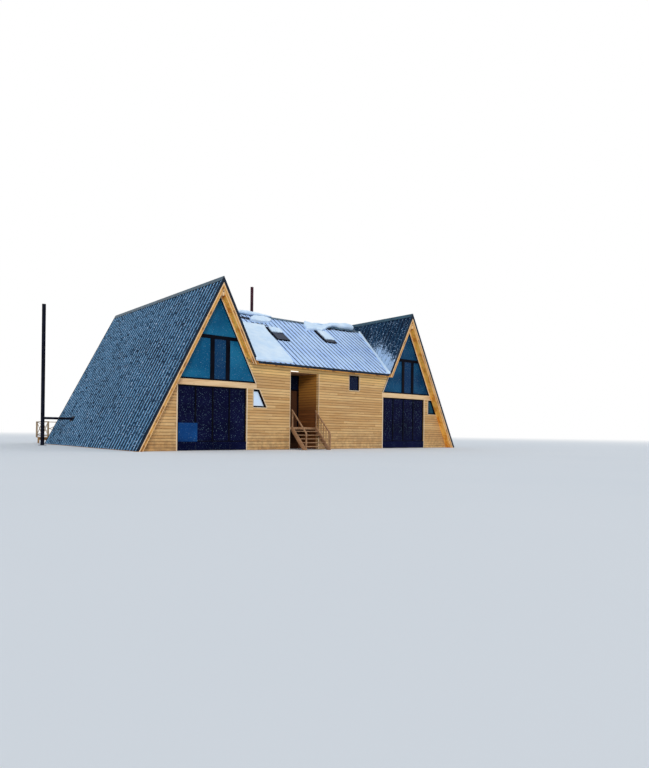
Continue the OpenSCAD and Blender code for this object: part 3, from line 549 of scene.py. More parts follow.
def slopeSheet(name, flecks, frost, drift=None):
    # flecks and frost are the amounts of snow in spots and along the ribs
    recipe = Recipe(name, roughness=0.5, specular=0.04)
    fromRib = acrossRibs(recipe.y, vergeFront + sheetCoat["firstRib"])
    onRib = 1 - fromRib.size().ramp(*sheetCoat["ribHalf"])
    caught = 1 - (fromRib + sheetCoat["line"]).size().ramp(*sheetCoat["lineHalf"])
    shade = 1 - (fromRib - sheetCoat["dip"]).size().ramp(*sheetCoat["dipHalf"])
    cloud = recipe.noise(recipe.vector(0.0, recipe.y * 0.5, recipe.z * 0.5), 1.0, 3.0)
    broken = recipe.noise(recipe.vector(0.0, recipe.y * 7.0, recipe.z * 6.0), 1.0, 3.0, 0.7)
    colour = recipe.blend(cloud.ramp(0.35, 0.65), sheetCoat["dark"], sheetCoat["teal"])
    colour = recipe.blend(shade * 0.8, colour, sheetCoat["shade"])
    # rib tops lighter: snow dust with a painted highlight on them
    colour = recipe.blend(onRib * 0.5, colour, sheetCoat["rib"])
    streak = caught * broken.ramp(0.32, 0.52) * frost
    colour = recipe.blend(streak, colour, sheetCoat["frost"])
    grain = recipe.noise(recipe.vector(0.0, recipe.y * 13.0, recipe.z * 10.0), 1.0, 2.0, 0.6)
    snowMask = (grain + flecks + (cloud - 0.5) * 0.12).ramp(0.69, 0.74)
    if drift:
        snowMask = snowMask.most(drift(recipe))
    colour = recipe.blend(snowMask * 0.9, colour, sheetCoat["snow"])
    rough = 0.5 + snowMask * 0.4
    relief = recipe.bump(snowMask + streak * 0.4, 0.6, 0.012)
    return recipe.feed(Base_Color=colour, Roughness=rough, Normal=relief)


def valleyDrift(recipe):
    # snow blown up the right inner slope from the valley, in streaks that thin with the distance
    behind = recipe.y - frontFace
    foot = behind * middleSlope + middle["ridge"] - middle["ridgeY"] * middleSlope
    above = recipe.z - foot
    reach = 1 - above.ramp(0.0, 1.8)
    streak = recipe.noise(recipe.vector(0.0, recipe.y * 9.0, recipe.z * 1.2), 1.0, 3.0, 0.7)
    speck = recipe.noise(recipe.vector(0.0, recipe.y * 14.0, recipe.z * 9.0), 1.0, 2.0, 0.6)
    fade = 1 - behind.ramp(0.4, 3.6) * 0.9
    rightOnly = recipe.x > halfWay
    return (streak * 0.6 + speck * 0.4 + reach * fade * 0.28).ramp(0.62, 0.72) * rightOnly


middleCoat = dict(
    pan=tone(164, 197, 250),
    powder=tone(196, 221, 254),
    # the colour of bare sheet, with the painted shade beside the ribs and under the snow
    bareAndShade=tone(2, 10, 32),
    bareShadeFrom=-0.094,        # the dark strip beside each rib, bare sheet and painted shade, from its middle
    bareShadeTo=-0.034,
    patches=(               # where no snow lies, dark as bare sheet and painted shade under the snow above: x, y, half length and half width
        (4.45, 3.24, 0.62, 0.10), (4.80, 2.78, 0.13, 0.34), (3.85, 3.72, 0.34, 0.16),
        (11.4, 4.06, 1.35, 0.15), (10.2, 3.90, 0.42, 0.10), (8.70, 2.80, 0.07, 0.60),
    ),
)


def middleSheet():
    recipe = Recipe("middleSheetCoat", roughness=0.6, specular=0.15)
    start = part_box("middle_front_sheet")[0].x
    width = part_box("middle_front_sheet")[1].x - start
    ribRun = math.floor((width - sheetCoat["ribFoot"]) / sheetCoat["pitch"]) * sheetCoat["pitch"]
    margin = (width - ribRun) / 2
    fromRib = acrossRibs(recipe.x, start + margin)
    wander = (recipe.noise(recipe.where, 3.0, 3.0) - 0.5) * 0.03
    middleOfBareShade = (middleCoat["bareShadeFrom"] + middleCoat["bareShadeTo"]) / 2
    halfBareShade = (middleCoat["bareShadeTo"] - middleCoat["bareShadeFrom"]) / 2
    # dark strips beside the ribs: bare sheet with painted shade
    bareAndShade = 1 - (fromRib - middleOfBareShade + wander).size().ramp(halfBareShade - 0.01, halfBareShade + 0.008)
    thin = recipe.noise(recipe.where, 0.9, 4.0).ramp(0.3, 0.65)
    powder = recipe.noise(recipe.where, 14.0, 3.0).ramp(0.25, 0.6)
    bareAndShade = bareAndShade * (1 - thin * 0.2)
    ragged = (recipe.noise(recipe.where, 6.0, 3.0) - 0.5) * 1.2
    # dark patches under the snow: bare sheet with painted shade
    for x, y, halfLength, halfWidth in middleCoat["patches"]:
        along = (recipe.x - leftAxis - x) / halfLength
        down = (recipe.y - frontFace - y) / halfWidth
        bareAndShade = bareAndShade.most(1 - (along * along + down * down + ragged).ramp(0.8, 1.1))
    colour = recipe.blend(thin * 0.5 + powder * 0.5, middleCoat["pan"], middleCoat["powder"])
    colour = recipe.blend(bareAndShade, colour, middleCoat["bareAndShade"])
    return recipe.feed(Base_Color=colour, Roughness=0.8 - bareAndShade * 0.3,
                       Normal=recipe.bump(thin * 0.4 + powder * 0.6 - bareAndShade, 0.4, 0.012))


def paintedMetal(name, dark, pale, roughness=0.4, metallic=0.3, dust=0.3, specular=0.2):
    # dust is the amount of snow on faces that look up
    recipe = Recipe(name, roughness=roughness, metallic=metallic, specular=specular)
    cloud = recipe.noise(recipe.where, 2.2, 4.0)
    colour = recipe.blend(cloud.ramp(0.3, 0.7), dark, pale)
    up = recipe.facing().ramp(0.35, 0.95)
    crumbs = recipe.noise(recipe.where, 14.0, 3.0).ramp(0.5, 0.62)
    snowMask = up * crumbs * dust
    colour = recipe.blend(snowMask, colour, sheetCoat["snow"])
    rough = roughness + snowMask * 0.4
    return recipe.feed(Base_Color=colour, Roughness=rough, Normal=recipe.bump(cloud, 0.08, 0.01))


houseReach = dict(      # what the other colours of one house's panes reach
    left=3.5,           # to the right of the left house's centre
    right=3.0,          # to the left of the right house's centre
    depth=1.0,          # behind the front wall's face, for the left house
)


def glazing(name, deep, bright, leftPair=None, rightPair=None, doorLight=None, roughness=0.1,
            specular=0.05):
    # leftPair is other colours for the left house's front panes, rightPair for the right house's
    # panes, doorLight the place and colour of the light in the middle of a gable
    recipe = Recipe(name, roughness=roughness, specular=specular)
    drift = recipe.noise(recipe.vector(recipe.x * 0.7, recipe.y * 0.7, recipe.z * 0.5), 1.0, 3.0)
    rise = recipe.noise(recipe.vector(recipe.x * 0.15, recipe.y * 0.15, recipe.z * 1.1), 1.0, 1.0)
    sheen = (drift * 0.6 + rise * 0.4).ramp(0.35, 0.65)
    colour = recipe.blend(sheen, deep, bright)
    atFront = recipe.y < frontFace + houseReach["depth"]
    for house, pair in (((recipe.x < leftAxis + houseReach["left"]) * atFront, leftPair),
                        (recipe.x > rightAxis - houseReach["right"], rightPair)):
        if pair:
            colour = recipe.blend(house, colour, recipe.blend(sheen, *pair))
    if doorLight:
        atRight = recipe.x > halfWay
        fromMiddle = recipe.x - leftAxis - atRight * spacing - doorLight["middle"]
        inLight = (fromMiddle.size() < doorLight["half"]) * (recipe.z < doorLight["top"])
        colour = recipe.blend(inLight * 0.8, colour, doorLight["colour"])
    frost = recipe.noise(recipe.where, 26.0, 2.0).ramp(0.64, 0.72) * 0.4
    colour = recipe.blend(frost, colour, tone(150, 186, 204))
    return recipe.feed(Base_Color=colour, Roughness=roughness + frost * 0.8,
                       Normal=recipe.bump(drift, 0.03, 0.02))


gableGlass = glazing("gableGlass", tone(6, 78, 118), tone(28, 108, 148),
                     rightPair=(tone(6, 50, 86), tone(20, 76, 112)),
                     doorLight=dict(middle=0.123, half=0.34, top=5.45, colour=tone(14, 46, 84)))
patioGlass = glazing("patioGlass", tone(3, 6, 36), tone(12, 16, 52), specular=0.03)
bluePanel = glazing("bluePanel", tone(6, 42, 92), tone(18, 68, 126), roughness=0.3)
smallGlass = glazing("smallGlass", tone(8, 14, 44), tone(20, 30, 58),
                     leftPair=(tone(212, 232, 255), tone(234, 244, 255)),
                     rightPair=(tone(10, 38, 56), tone(34, 92, 118)))

leftSheetCoat = slopeSheet("leftSheetCoat", 0.08, 0.85)
innerSheetCoat = slopeSheet("innerSheetCoat", 0.07, 0.15, valleyDrift)
outerSheetCoat = slopeSheet("outerSheetCoat", 0.02, 0.6)
middleSheetCoat = middleSheet()
ridgeMetal = paintedMetal("ridgeMetal", tone(16, 50, 70), tone(38, 80, 100), dust=0.45)
roofGlass = glazing("roofGlass", tone(10, 20, 44), tone(28, 42, 70))
trimMetal = paintedMetal("trimMetal", tone(8, 22, 38), tone(18, 38, 58))
frameBlack = paintedMetal("frameBlack", tone(3, 4, 12), tone(9, 10, 22), 0.5, 0.0, 0.1, 0.04)
pipeBlack = paintedMetal("pipeBlack", tone(7, 9, 20), tone(18, 22, 38), 0.55, 0.0, 0.3, 0.06)
chimneyMetal = paintedMetal(
    "chimneyMetal", tone(44, 22, 34), tone(72, 42, 50), 0.6, 0.0, 0.3, 0.06)
hardwareMetal = paintedMetal(
    "hardwareMetal", tone(120, 124, 130), tone(160, 164, 170), 0.28, 0.9, 0.0, 0.5)


def snowCover():
    recipe = Recipe("snowPowder", roughness=0.85, specular=0.2)
    soft = recipe.noise(recipe.where, 1.6, 4.0)
    fine = recipe.noise(recipe.where, 30.0, 3.0)
    colour = recipe.blend(soft.ramp(0.3, 0.7), tone(206, 229, 252), tone(224, 240, 255))
    return recipe.feed(Base_Color=colour, Normal=recipe.bump(soft + 0.25 * fine, 0.3, 0.03))


def concrete():
    recipe = Recipe("slabConcrete", roughness=0.8, specular=0.3)
    blotch = recipe.noise(recipe.where, 1.4, 5.0)
    grit = recipe.cells(recipe.where, 60.0)
    colour = recipe.blend(blotch.ramp(0.3, 0.7), tone(128, 126, 122), tone(168, 166, 160))
    colour = recipe.blend(grit.ramp(0.0, 0.5) * 0.15, colour, tone(96, 94, 90))
    return recipe.feed(Base_Color=colour, Normal=recipe.bump(blotch + 0.2 * grit, 0.3, 0.006))


snowPowder = snowCover()
slabConcrete = concrete()
print("materials are made")


# Walls: copies of the CAD walls with a V groove cut between the boards and at their butt joints

def grooveRun(depth, start, end, count, step=(0, 0, cladding["pitch"])):
    # a row of straight V grooves, from the first one on
    bars = addPrism("grooveCutter", 4, depth, start, end)
    repeat(bars, count, step)
    return bars


def jointBars(lowX, highX, faceY, first, last):
    # the upright grooves where boards of one course meet end to end
    pitch, length = cladding["pitch"], cladding["length"]
    joints = []
    for course in range(first - 1, last + 1):
        jointX = (course * cladding["shift"]) % length + math.floor(lowX / length) * length
        while jointX < highX:
            if jointX > lowX:
                joints.append(addPrism("jointCutter", 4, cladding["joint"],
                                       (jointX, faceY, course * pitch),
                                       (jointX, faceY, (course + 1) * pitch)))
            jointX += length
    return joinAll("jointCutter", joints) if joints else None


def boardFace(wall, faceY):
    # grooves on the face of a wall that looks along Y
    corners = [Vector(corner) for corner in wall.bound_box]
    lowX = min(c.x for c in corners) - cladding["overrun"]
    highX = max(c.x for c in corners) + cladding["overrun"]
    first, last = (math.ceil(pick(c.z for c in corners) / cladding["pitch"]) for pick in (min, max))
    level = first * cladding["pitch"]
    cutAway(wall, grooveRun(cladding["groove"], (lowX, faceY, level), (highX, faceY, level),
                            last - first + 1))
    joints = jointBars(lowX, highX, faceY, first, last)
    if joints:
        cutAway(wall, joints)


def boardWall(node, name, atFront):
    # each of the node's solids is boarded by itself, on its front or its rear face
    walls = copyNode(node, name)
    activate(walls)
    bpy.ops.mesh.separate(type="LOOSE")
    parts = list(bpy.context.selected_objects)
    for part in parts:
        depths = [corner[1] for corner in part.bound_box]
        boardFace(part, min(depths) if atFront else max(depths))
    return finishPiece(joinAll(name, parts), wallTimber, replaced=(node,))


for node in ("front_wall_left", "front_wall_mid_left", "front_wall_over_door",
             "front_wall_mid_right", "front_wall_right"):
    boardWall(node, "boarded_" + node, True)
boardWall("rear_walls", "boarded_rear_walls", False)
print("walls are boarded")


# Porch lining: boards along the side walls and across the back wall

def liningGrooves(start, end):
    courses = math.ceil(doorwayHead / cladding["pitch"])
    return grooveRun(cladding["groove"], (*start, 0), (*end, 0), courses)


sideLow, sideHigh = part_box("porch_side_walls")
backLow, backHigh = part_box("porch_back_wall")
over = cladding["overrun"]
lining = copyNode("porch_side_walls", "boarded_porch_sides")
for faceX in (doorwayLeft, doorwayRight):
    cutAway(lining, liningGrooves((faceX, sideLow.y - over), (faceX, sideHigh.y + over)))
finishPiece(lining, porchTimber, replaced=("porch_side_walls",))
backing = copyNode("porch_back_wall", "boarded_porch_back")
cutAway(backing, liningGrooves((backLow.x - over, backLow.y), (backHigh.x + over, backLow.y)))
finishPiece(backing, porchBackTimber, replaced=("porch_back_wall",))
print("porch is lined")


# Pieces that keep their CAD form, with softened edges and a finish

for node, name, material, slot, bevel in (
        ("loft_beams", "gable_beams", beamTimber, "beam_timber", 0.008),
        ("gable_frames", "gable_bars", frameBlack, "dark_frame", 0.006),
        ("patio_frames", "patio_bars", frameBlack, "dark_frame", 0.006),
        ("small_window_frames", "window_bars", frameBlack, "dark_frame", 0.005),
        ("stair_stringers", "stair_sides", stairTimber, "stair_wood", 0.006),
        ("stair_treads", "stair_steps", stairTimber, "stair_wood", 0.006),
        ("stair_railings", "stair_rails", stairTimber, "stair_wood", 0.004),
        ("deck_side_railings", "deck_side_rails", sideRailTimber, "deck_wood", 0.004),
        ("deck_rear_railings", "deck_rear_rails", rearRailTimber, "deck_wood", 0.004),
        ("porch_floor_and_ceiling", "porch_boards", stairTimber, "porch_wood", 0.005),
        ("door_frame", "entrance_frame", frameBlack, "dark_frame", 0.003)):
    piece = copyNode(node, name)
    softenEdges(piece, bevel)
    shadeByAngle(piece)
    finishPiece(piece, material, replaced=(node,))
print("frames, stair and rails are dressed")

for material, finished in (
        (leftSheetCoat, ("left_outer_sheet",)),
        (innerSheetCoat, ("left_inner_sheet", "right_inner_sheet")),
        (outerSheetCoat, ("right_outer_sheet",)),
        (middleSheetCoat, ("middle_front_sheet", "middle_rear_sheet")),
        (ridgeMetal, ("ridge_caps",)),
        (trimMetal, ("verge_trims",)),
        (gableGlass, ("gable_glass",)),
        (patioGlass, ("patio_glass",)),
        (smallGlass, ("small_window_glass",)),
        (pipeBlack, ("flue_stack",)),
        (chimneyMetal, ("roof_chimney",)),
        (slabConcrete, ("ground_slabs",)),
        (floorTimber, ("middle_floor", "loft_floors", "left_outer_deck", "left_inner_deck",
                       "right_inner_deck", "right_outer_deck", "middle_front_deck",
                       "middle_rear_deck")),
        (fasciaTimber, ("fascia_boards",))):
    for node in finished:
        nodes[node].data.materials.clear()
        nodes[node].data.materials.append(material)
print("CAD nodes have their finishes")


# Rear decks: grooves between the boards, which run along the houses' fronts

decking = dict(pitch=0.145, groove=0.007)
deckTimber = timber("deckTimber", tone(196, 158, 112), tone(166, 126, 84), tone(124, 88, 56),
                    "x", "y", decking["pitch"], knots=0.5, grey=0.4)
deckLow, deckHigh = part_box("rear_decks")
firstSeam = math.ceil(deckLow.y / decking["pitch"]) * decking["pitch"]
seamCount = math.floor((deckHigh.y - firstSeam) / decking["pitch"]) + 1
boardedDecks = copyNode("rear_decks", "boarded_decks")
cutAway(boardedDecks, grooveRun(
    decking["groove"], (deckLow.x - over, firstSeam, deckHigh.z),
    (deckHigh.x + over, firstSeam, deckHigh.z), seamCount, (0, decking["pitch"], 0)))
finishPiece(boardedDecks, deckTimber, replaced=("rear_decks",))


# Roof windows: the frames' copy with dark panes

def twoFinishes(piece, main, other, wanted, body, node):
    # main all over, other on the faces that wanted picks
    finishPiece(piece, main, body, (node,))
    piece.data.materials.append(other)
    for face in piece.data.polygons:
        face.material_index = 1 if wanted(face) else 0


roofUp = Vector((0, -math.sin(middle["pitch"]), math.cos(middle["pitch"])))
smallestPane = 0.8       # square metres, more than any face of the frames that looks up
twoFinishes(copyNode("roof_windows", "roof_lights"), frameBlack, roofGlass,
            lambda face: face.area > smallestPane and face.normal.dot(roofUp) > 0.99,
            "house", "roof_windows")


# Entrance door: upright grooves between its boards, bright metal on the lever and hinges

entrance = dict(
    leaf=0.06,          # thickness
    board=0.116,        # cover width of a board
    groove=0.006,       # depth of the grooves
    grooves=7,          # number of them
    height=2.1,
    over=0.05,          # how far the grooves' cutters reach past the leaf
    past=0.001,         # how far past the leaf's faces the metal begins
)
doorTimber = timber("doorTimber", tone(92, 58, 36), tone(72, 42, 26), tone(48, 26, 16),
                    "z", "x", entrance["board"], knots=0.4, roughness=0.45)
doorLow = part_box("entrance_door")[0]
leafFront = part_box("porch_back_wall")[1].y - entrance["leaf"]
boardedDoor = copyNode("entrance_door", "boarded_door")
leafFoot, leafTop = porchFloor - entrance["over"], porchFloor + entrance["height"] + entrance["over"]
firstGroove = doorLow.x + entrance["board"]
cutAway(boardedDoor, grooveRun(
    entrance["groove"], (firstGroove, leafFront, leafFoot), (firstGroove, leafFront, leafTop),
    entrance["grooves"], (entrance["board"], 0, 0)))
near, far = leafFront - entrance["past"], leafFront + entrance["leaf"] + entrance["past"]
twoFinishes(boardedDoor, doorTimber, hardwareMetal, lambda face: not near < face.center.y < far,
            "door", "entrance_door")
print("roof windows and door are dressed")


# Pale casings planted on the walls round the glazing, the windows and the doorway

casing = dict(
    thick=0.02,
    drop=0.024,         # how far the strips beside the gable glazing stay clear of the roof decks
    gable=0.05,         # widths of the strips
    patio=0.055,
    slanted=0.035,
    square=0.04,
    doorway=0.03,
)
sash = dict(            # dark sashes of the slanted windows, widths from the wall opening inwards
    slope=0.10,
    top=0.10,
    sill=0.075,
    proud=0.015,        # in front of the window frames
)
slantedWindow = dict(left=2.0295, low=2.181, top=3.093)
squareWindow = dict(left=8.615, width=0.805, height=0.862, underEave=0.293)
eaveEdge = middle["ridge"] - (middle["ridgeY"] + middle["overhang"]) * middleSlope


def addStrip(start, end, width, wallY, out, thick=casing["thick"]):
    # a strip on a wall, on the left of the line from start to end, which are (x, z) from the front
    run = Vector((end[0] - start[0], 0, end[1] - start[1])).normalized()
    across = Vector((-run.z, 0, run.x))
    shift = across * width / 2 + Vector((0, out * thick / 2, 0))
    low, high = (Vector((x, wallY, z)) + shift for x, z in (start, end))
    return addPlank("casingStrip", low, high, width, thick, across)


def addSurround(corners, width, wallY, out, sides):
    # corners clockwise as seen from the front, sides are the ones that get a strip
    strips = []
    for n in sides:
        start, end = corners[n], corners[(n + 1) % len(corners)]
        strips.append(addStrip(start, end, width, wallY, out))
    return strips


def addGableStrips(axis, wallY, out):
    # down both sides of the gable glazing
    drop = casing["drop"] / math.sin(aframe["pitch"])
    strips = []
    for side in (-1, 1):
        foot = (axis + side * (underHalf(beamHigh) - drop), beamHigh)
        top = (axis + side * beamHalf, apexHeight(drop))
        ends = (top, foot) if side < 0 else (foot, top)
        strips.append(addStrip(*ends, casing["gable"], wallY, out))
    return strips


strips, sashes = [], []
for axis in (leftAxis, rightAxis):
    for wallY, out in ((frontFace, -1), (rearFace, 1)):
        strips += addGableStrips(axis, wallY, out)
        left, right = axis + patioLeft, axis + patioRight
        strips.append(addStrip((left, 0.0), (left, beamLow), casing["patio"], wallY, out))
        strips.append(addStrip((right, beamLow), (right, 0.0), casing["patio"], wallY, out))
        low, top, left = slantedWindow["low"], slantedWindow["top"], axis + slantedWindow["left"]
        corners = [(left, low), (left, top), (axis + underHalf(top), top), (axis + underHalf(low), low)]
        wallGoesOn = axis == leftAxis and out < 0       # past the window's slanted side
        sides = (0, 1, 2, 3) if wallGoesOn else (0, 1, 3)
        strips += addSurround(corners, casing["slanted"], wallY, out, sides)
        frameY = wallY - out * frameInset
        for start, end, width in ((corners[2], corners[1], sash["top"]),
                                  (corners[3], corners[2], sash["slope"]),
                                  (corners[0], corners[3], sash["sill"])):
            sashes.append(addStrip(start, end, width, frameY, out, sash["proud"]))
top = eaveEdge - squareWindow["underEave"]
low = top - squareWindow["height"]
for wallY, out, mirrored in ((frontFace, -1, False), (midRearFace, 1, False), (midRearFace, 1, True)):
    left = leftAxis + squareWindow["left"]
    right = left + squareWindow["width"]
    if mirrored:
        left, right = leftAxis + rightAxis - right, leftAxis + rightAxis - left
    strips += addSurround([(left, low), (left, top), (right, top), (right, low)],
                          casing["square"], wallY, out, range(4))
for start, end in (((doorwayLeft, 0.0), (doorwayLeft, doorwayHead)),
                   ((doorwayRight, doorwayHead), (doorwayRight, 0.0))):
    strips.append(addStrip(start, end, casing["doorway"], frontFace, -1))


def trimPiece(name, parts, material):
    # one piece from many boards or strips, their edges just broken
    piece = joinAll(name, parts)
    softenEdges(piece, 0.003, 1)
    return finishPiece(piece, material)


trimPiece("wall_casings", strips, casingTimber)
trimPiece("window_sashes", sashes, frameBlack)


# Dark panels that carry the patio glazing's look down over the floor's edge, and one blue panel

sillPanel = dict(thick=0.012, gap=0.006, low=0.02, lap=0.03, count=4)
bluePane = dict(left=-2.08, right=-1.09, low=0.42, top=1.32, front=0.033, thick=0.012)

sills = []
width = (patioRight - patioLeft) / sillPanel["count"]
for axis in (leftAxis, rightAxis):
    for wallY, out in ((frontFace, -1), (rearFace, 1)):
        near, far = sorted((wallY, wallY + out * sillPanel["thick"]))
        left = axis + patioLeft + sillPanel["gap"] / 2
        right = axis + patioLeft + width - sillPanel["gap"] / 2
        panel = addBlock("sillPanel", (left, near, sillPanel["low"]),
                         (right, far, floorZ + sillPanel["lap"]))
        repeat(panel, sillPanel["count"], (width, 0, 0))
        sills.append(panel)
trimPiece("sill_panels", sills, patioGlass)
pane = addBlock("blue_panel", place(bluePane["left"], bluePane["front"], bluePane["low"]),
                place(bluePane["right"], bluePane["front"] + bluePane["thick"], bluePane["top"]))
trimPiece("blue_panel", [pane], bluePanel)


# A slim lamp under the doorway's head

lamp = dict(length=0.5, height=0.045, deep=0.05)


def lampGlow():
    recipe = Recipe("lampGlow", roughness=0.4, specular=0.2)
    recipe.shader.inputs["Emission Color"].default_value = (1.0, 0.97, 0.9, 1.0)
    recipe.shader.inputs["Emission Strength"].default_value = 0.9
    soft = recipe.noise(recipe.where, 8.0, 2.0)
    return recipe.feed(Base_Color=recipe.blend(soft, tone(236, 232, 220), tone(250, 248, 240)))


tube = addBlock("porch_lamp", (doorwayLeft, frontFace - lamp["deep"], doorwayHead),
                (doorwayLeft + lamp["length"], frontFace, doorwayHead + lamp["height"]))
softenEdges(tube, 0.015, 3)
shadeByAngle(tube)
finishPiece(tube, lampGlow())
print("casings, panels and lamp are on")


# Boards under the roof overhangs, down each slope, with a pale trim along the wall and the verge

soffit = dict(
    board=0.098,        # width of a board
    gap=0.006,
    thick=0.014,
    trim=0.05,          # width of the trims along the wall and the verge
    trimThick=casing["drop"],
    apexGap=0.008,      # between the boards' heads and the ridge beam
    foot=0.02,          # height of the boards' feet over the ground
    eaveFoot=0.03,      # and over the underside of the middle roof
)


def slopePoint(axis, side, z, y, drop=0.0):
    # a point on the underside of an A-frame's deck, drop metres below it
    c, s = math.cos(aframe["pitch"]), math.sin(aframe["pitch"])
    return Vector((axis + side * (underHalf(z) - drop * s), y, z - drop * c))


def addSoffit(axis, side, wallY, edgeY, topZ, footAt):
    # footAt gives the height of a board's foot from the place of its inner edge
    boards = []
    reach = abs(edgeY - wallY)
    out = 1 if edgeY > wallY else -1
    count = max(1, math.floor(reach / soffit["board"]))
    width = reach / count
    runs = [(wallY + out * width * (n + 0.5), width - soffit["gap"], soffit["thick"])
            for n in range(count)]
    runs.append((wallY + out * soffit["trim"] / 2, soffit["trim"], soffit["trimThick"]))
    runs.append((edgeY - out * soffit["trim"] / 2, soffit["trim"], soffit["trimThick"]))
    for y, across, thick in runs:
        boards.append(addPlank("soffitBoard", slopePoint(axis, side, topZ, y, thick / 2),
                               slopePoint(axis, side, footAt(y + across / 2), y, thick / 2),
                               across, thick, (0, 1, 0)))
    return boards


apexZ = apexHeight(soffit["apexGap"])
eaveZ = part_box("middle_front_deck")[0].z


def groundFoot(y):
    return soffit["foot"]


def eaveFoot(y):
    # the middle roof rises behind its eave
    return eaveZ + soffit["eaveFoot"] + (y - vergeFront) * middleSlope


fronts, rears = [], []
for axis, outward in ((leftAxis, -1), (rightAxis, 1)):
    for side, foot in ((outward, groundFoot), (-outward, eaveFoot)):
        fronts += addSoffit(axis, side, frontFace, vergeFront + aframe["fascia"], apexZ, foot)
        rears += addSoffit(axis, side, rearFace, vergeRear - aframe["fascia"], apexZ, groundFoot)
for name, boards in (("front_soffits", fronts), ("rear_soffits", rears)):
    trimPiece(name, boards, soffitTimberPaintedLight)
print("soffits are boarded")


# Snow that lies on the middle roof

snow = dict(
    voxel=0.035,
    sink=0.06,          # how far a blanket reaches below the top of the ribs
    tuck=0.1,           # how far it reaches into the left valley
    hollows=0.35,       # size of the small hollows
    rough=0.05,         # and their depth
    step=0.1,           # between the balls of a heap
)


def roofHeight(y):
    return middle["ridge"] - abs(middle["ridgeY"] - y) * middleSlope


def onRoof(x, y, lift):
    return place(x, y, roofHeight(y) + lift)


def softSnow(piece, rounds):
    # melts hard edges in rounds of smoothing, then gives the surface its small hollows
    applyModifier(piece, "REMESH", mode="VOXEL", voxel_size=snow["voxel"])
    applyModifier(piece, "SMOOTH", factor=0.5, iterations=rounds)
    lumps = bpy.data.textures.new(piece.name + "Lumps", "CLOUDS")
    lumps.noise_scale = snow["hollows"]
    applyModifier(piece, "DISPLACE", texture=lumps, texture_coords="LOCAL",
                  strength=snow["rough"], mid_level=0.5)
    shadeByAngle(piece, 80)
    return finishPiece(piece, snowPowder)


def snowBlanket(name, outline, thick):
    # an even layer, its outline in (x, y)
    sheet = addOutline(name, [onRoof(x, y, -snow["sink"]) for x, y in outline])
    activate(sheet)
    bpy.ops.object.mode_set(mode="EDIT")
    bpy.ops.mesh.select_all(action="SELECT")
    rise = roofUp * (thick + snow["sink"])
    bpy.ops.mesh.extrude_region_move(TRANSFORM_OT_translate={"value": rise})
    bpy.ops.mesh.select_all(action="SELECT")
    bpy.ops.mesh.normals_make_consistent(inside=False)
    bpy.ops.object.mode_set(mode="OBJECT")
    return softSnow(sheet, 2)


def snowLumps(name, lumps):
    # lumps: list of (x, y, lift, half length, half depth, half height)
    balls = []
    for x, y, lift, halfLength, halfDepth, halfHeight in lumps:
        clearSelection()
        bpy.ops.mesh.primitive_ico_sphere_add(subdivisions=3, radius=1, location=onRoof(x, y, lift))
        ball = bpy.context.object
        ball.scale = (halfLength, halfDepth, halfHeight)
        settle(ball)
        balls.append(ball)
    return softSnow(joinAll(name, balls), 4)


def valleyLeft(y):
    # just inside the valley beside the left A-frame
    return outerHalf(roofHeight(y)) - snow["tuck"]


def valleyRight(y, before=0.0):
    # the valley beside the right A-frame, or a distance before it
    return spacing - outerHalf(roofHeight(y)) - before


snowBlanket("snow_slab", [
    (valleyLeft(-0.40), -0.40), (4.24, -0.38), (4.33, 0.30), (4.44, 1.40), (4.48, 2.20),
    (4.50, 2.62), (4.66, 3.06), (4.20, 3.08), (3.75, 3.04), (valleyLeft(3.3), 3.24)], 0.10)
snowBlanket("snow_ledge_left", [
    (4.02, 3.44), (4.70, 3.40), (5.36, 3.52), (5.66, 3.80), (5.30, 4.02), (4.44, 3.90),
    (4.05, 3.60)], 0.14)
snowBlanket("snow_ledge_right", [
    (7.96, 3.30), (8.80, 3.45), (9.23, 3.38), (9.80, 3.72), (10.23, 3.98), (10.8, 4.22), (9.5, 4.35),
    (8.5, 4.24), (8.10, 3.80)], 0.15)
snowBlanket("snow_window_left", [(4.80, 2.46), (5.60, 2.50), (5.62, 2.90), (4.86, 2.92)], 0.11)
snowBlanket("snow_window_right", [(8.80, 2.46), (9.58, 2.50), (9.54, 3.34), (8.84, 3.36)], 0.11)
snowBlanket("snow_valley", [
    (valleyRight(-0.40, 0.28), -0.40), (valleyRight(1.5, 0.16), 1.5), (valleyRight(4.1, 0.14), 4.1),
    (valleyRight(4.1), 4.1), (valleyRight(-0.40), -0.40)], 0.07)


def alongLine(line):
    # places between the first and the last point of line, with the height there
    places = []
    for (x, high), (nextX, nextHigh) in zip(line, line[1:]):
        count = round((nextX - x) / snow["step"])
        for n in range(count):
            places.append((x + (nextX - x) * n / count, high + (nextHigh - high) * n / count))
    return places + [line[-1]]


ridgeLine = (       # x and height above the ridge of the snow along it
    (3.3, 0.12), (3.7, 0.13), (4.1, 0.16), (4.5, 0.15), (4.9, 0.13), (5.3, 0.10), (5.7, 0.07),
)
cornice = (
    (9.4, 0.06), (9.8, 0.10), (10.2, 0.14), (10.6, 0.20), (11.0, 0.27), (11.4, 0.34), (11.8, 0.38),
    (12.2, 0.39), (12.6, 0.37),
)
snowLumps("snow_ridge", [(x, 4.20, high * 0.2, 0.30, 0.24, high * 0.9)
                         for x, high in alongLine(ridgeLine)])
snowLumps("snow_cornice", [(x, 4.42 + 0.03 * math.sin(5 * x), 0.14 + high * 0.45, 0.30, 0.29, high * 0.6)
                           for x, high in alongLine(cornice)])
print("snow lies on the middle roof")


# Camera, light and floor

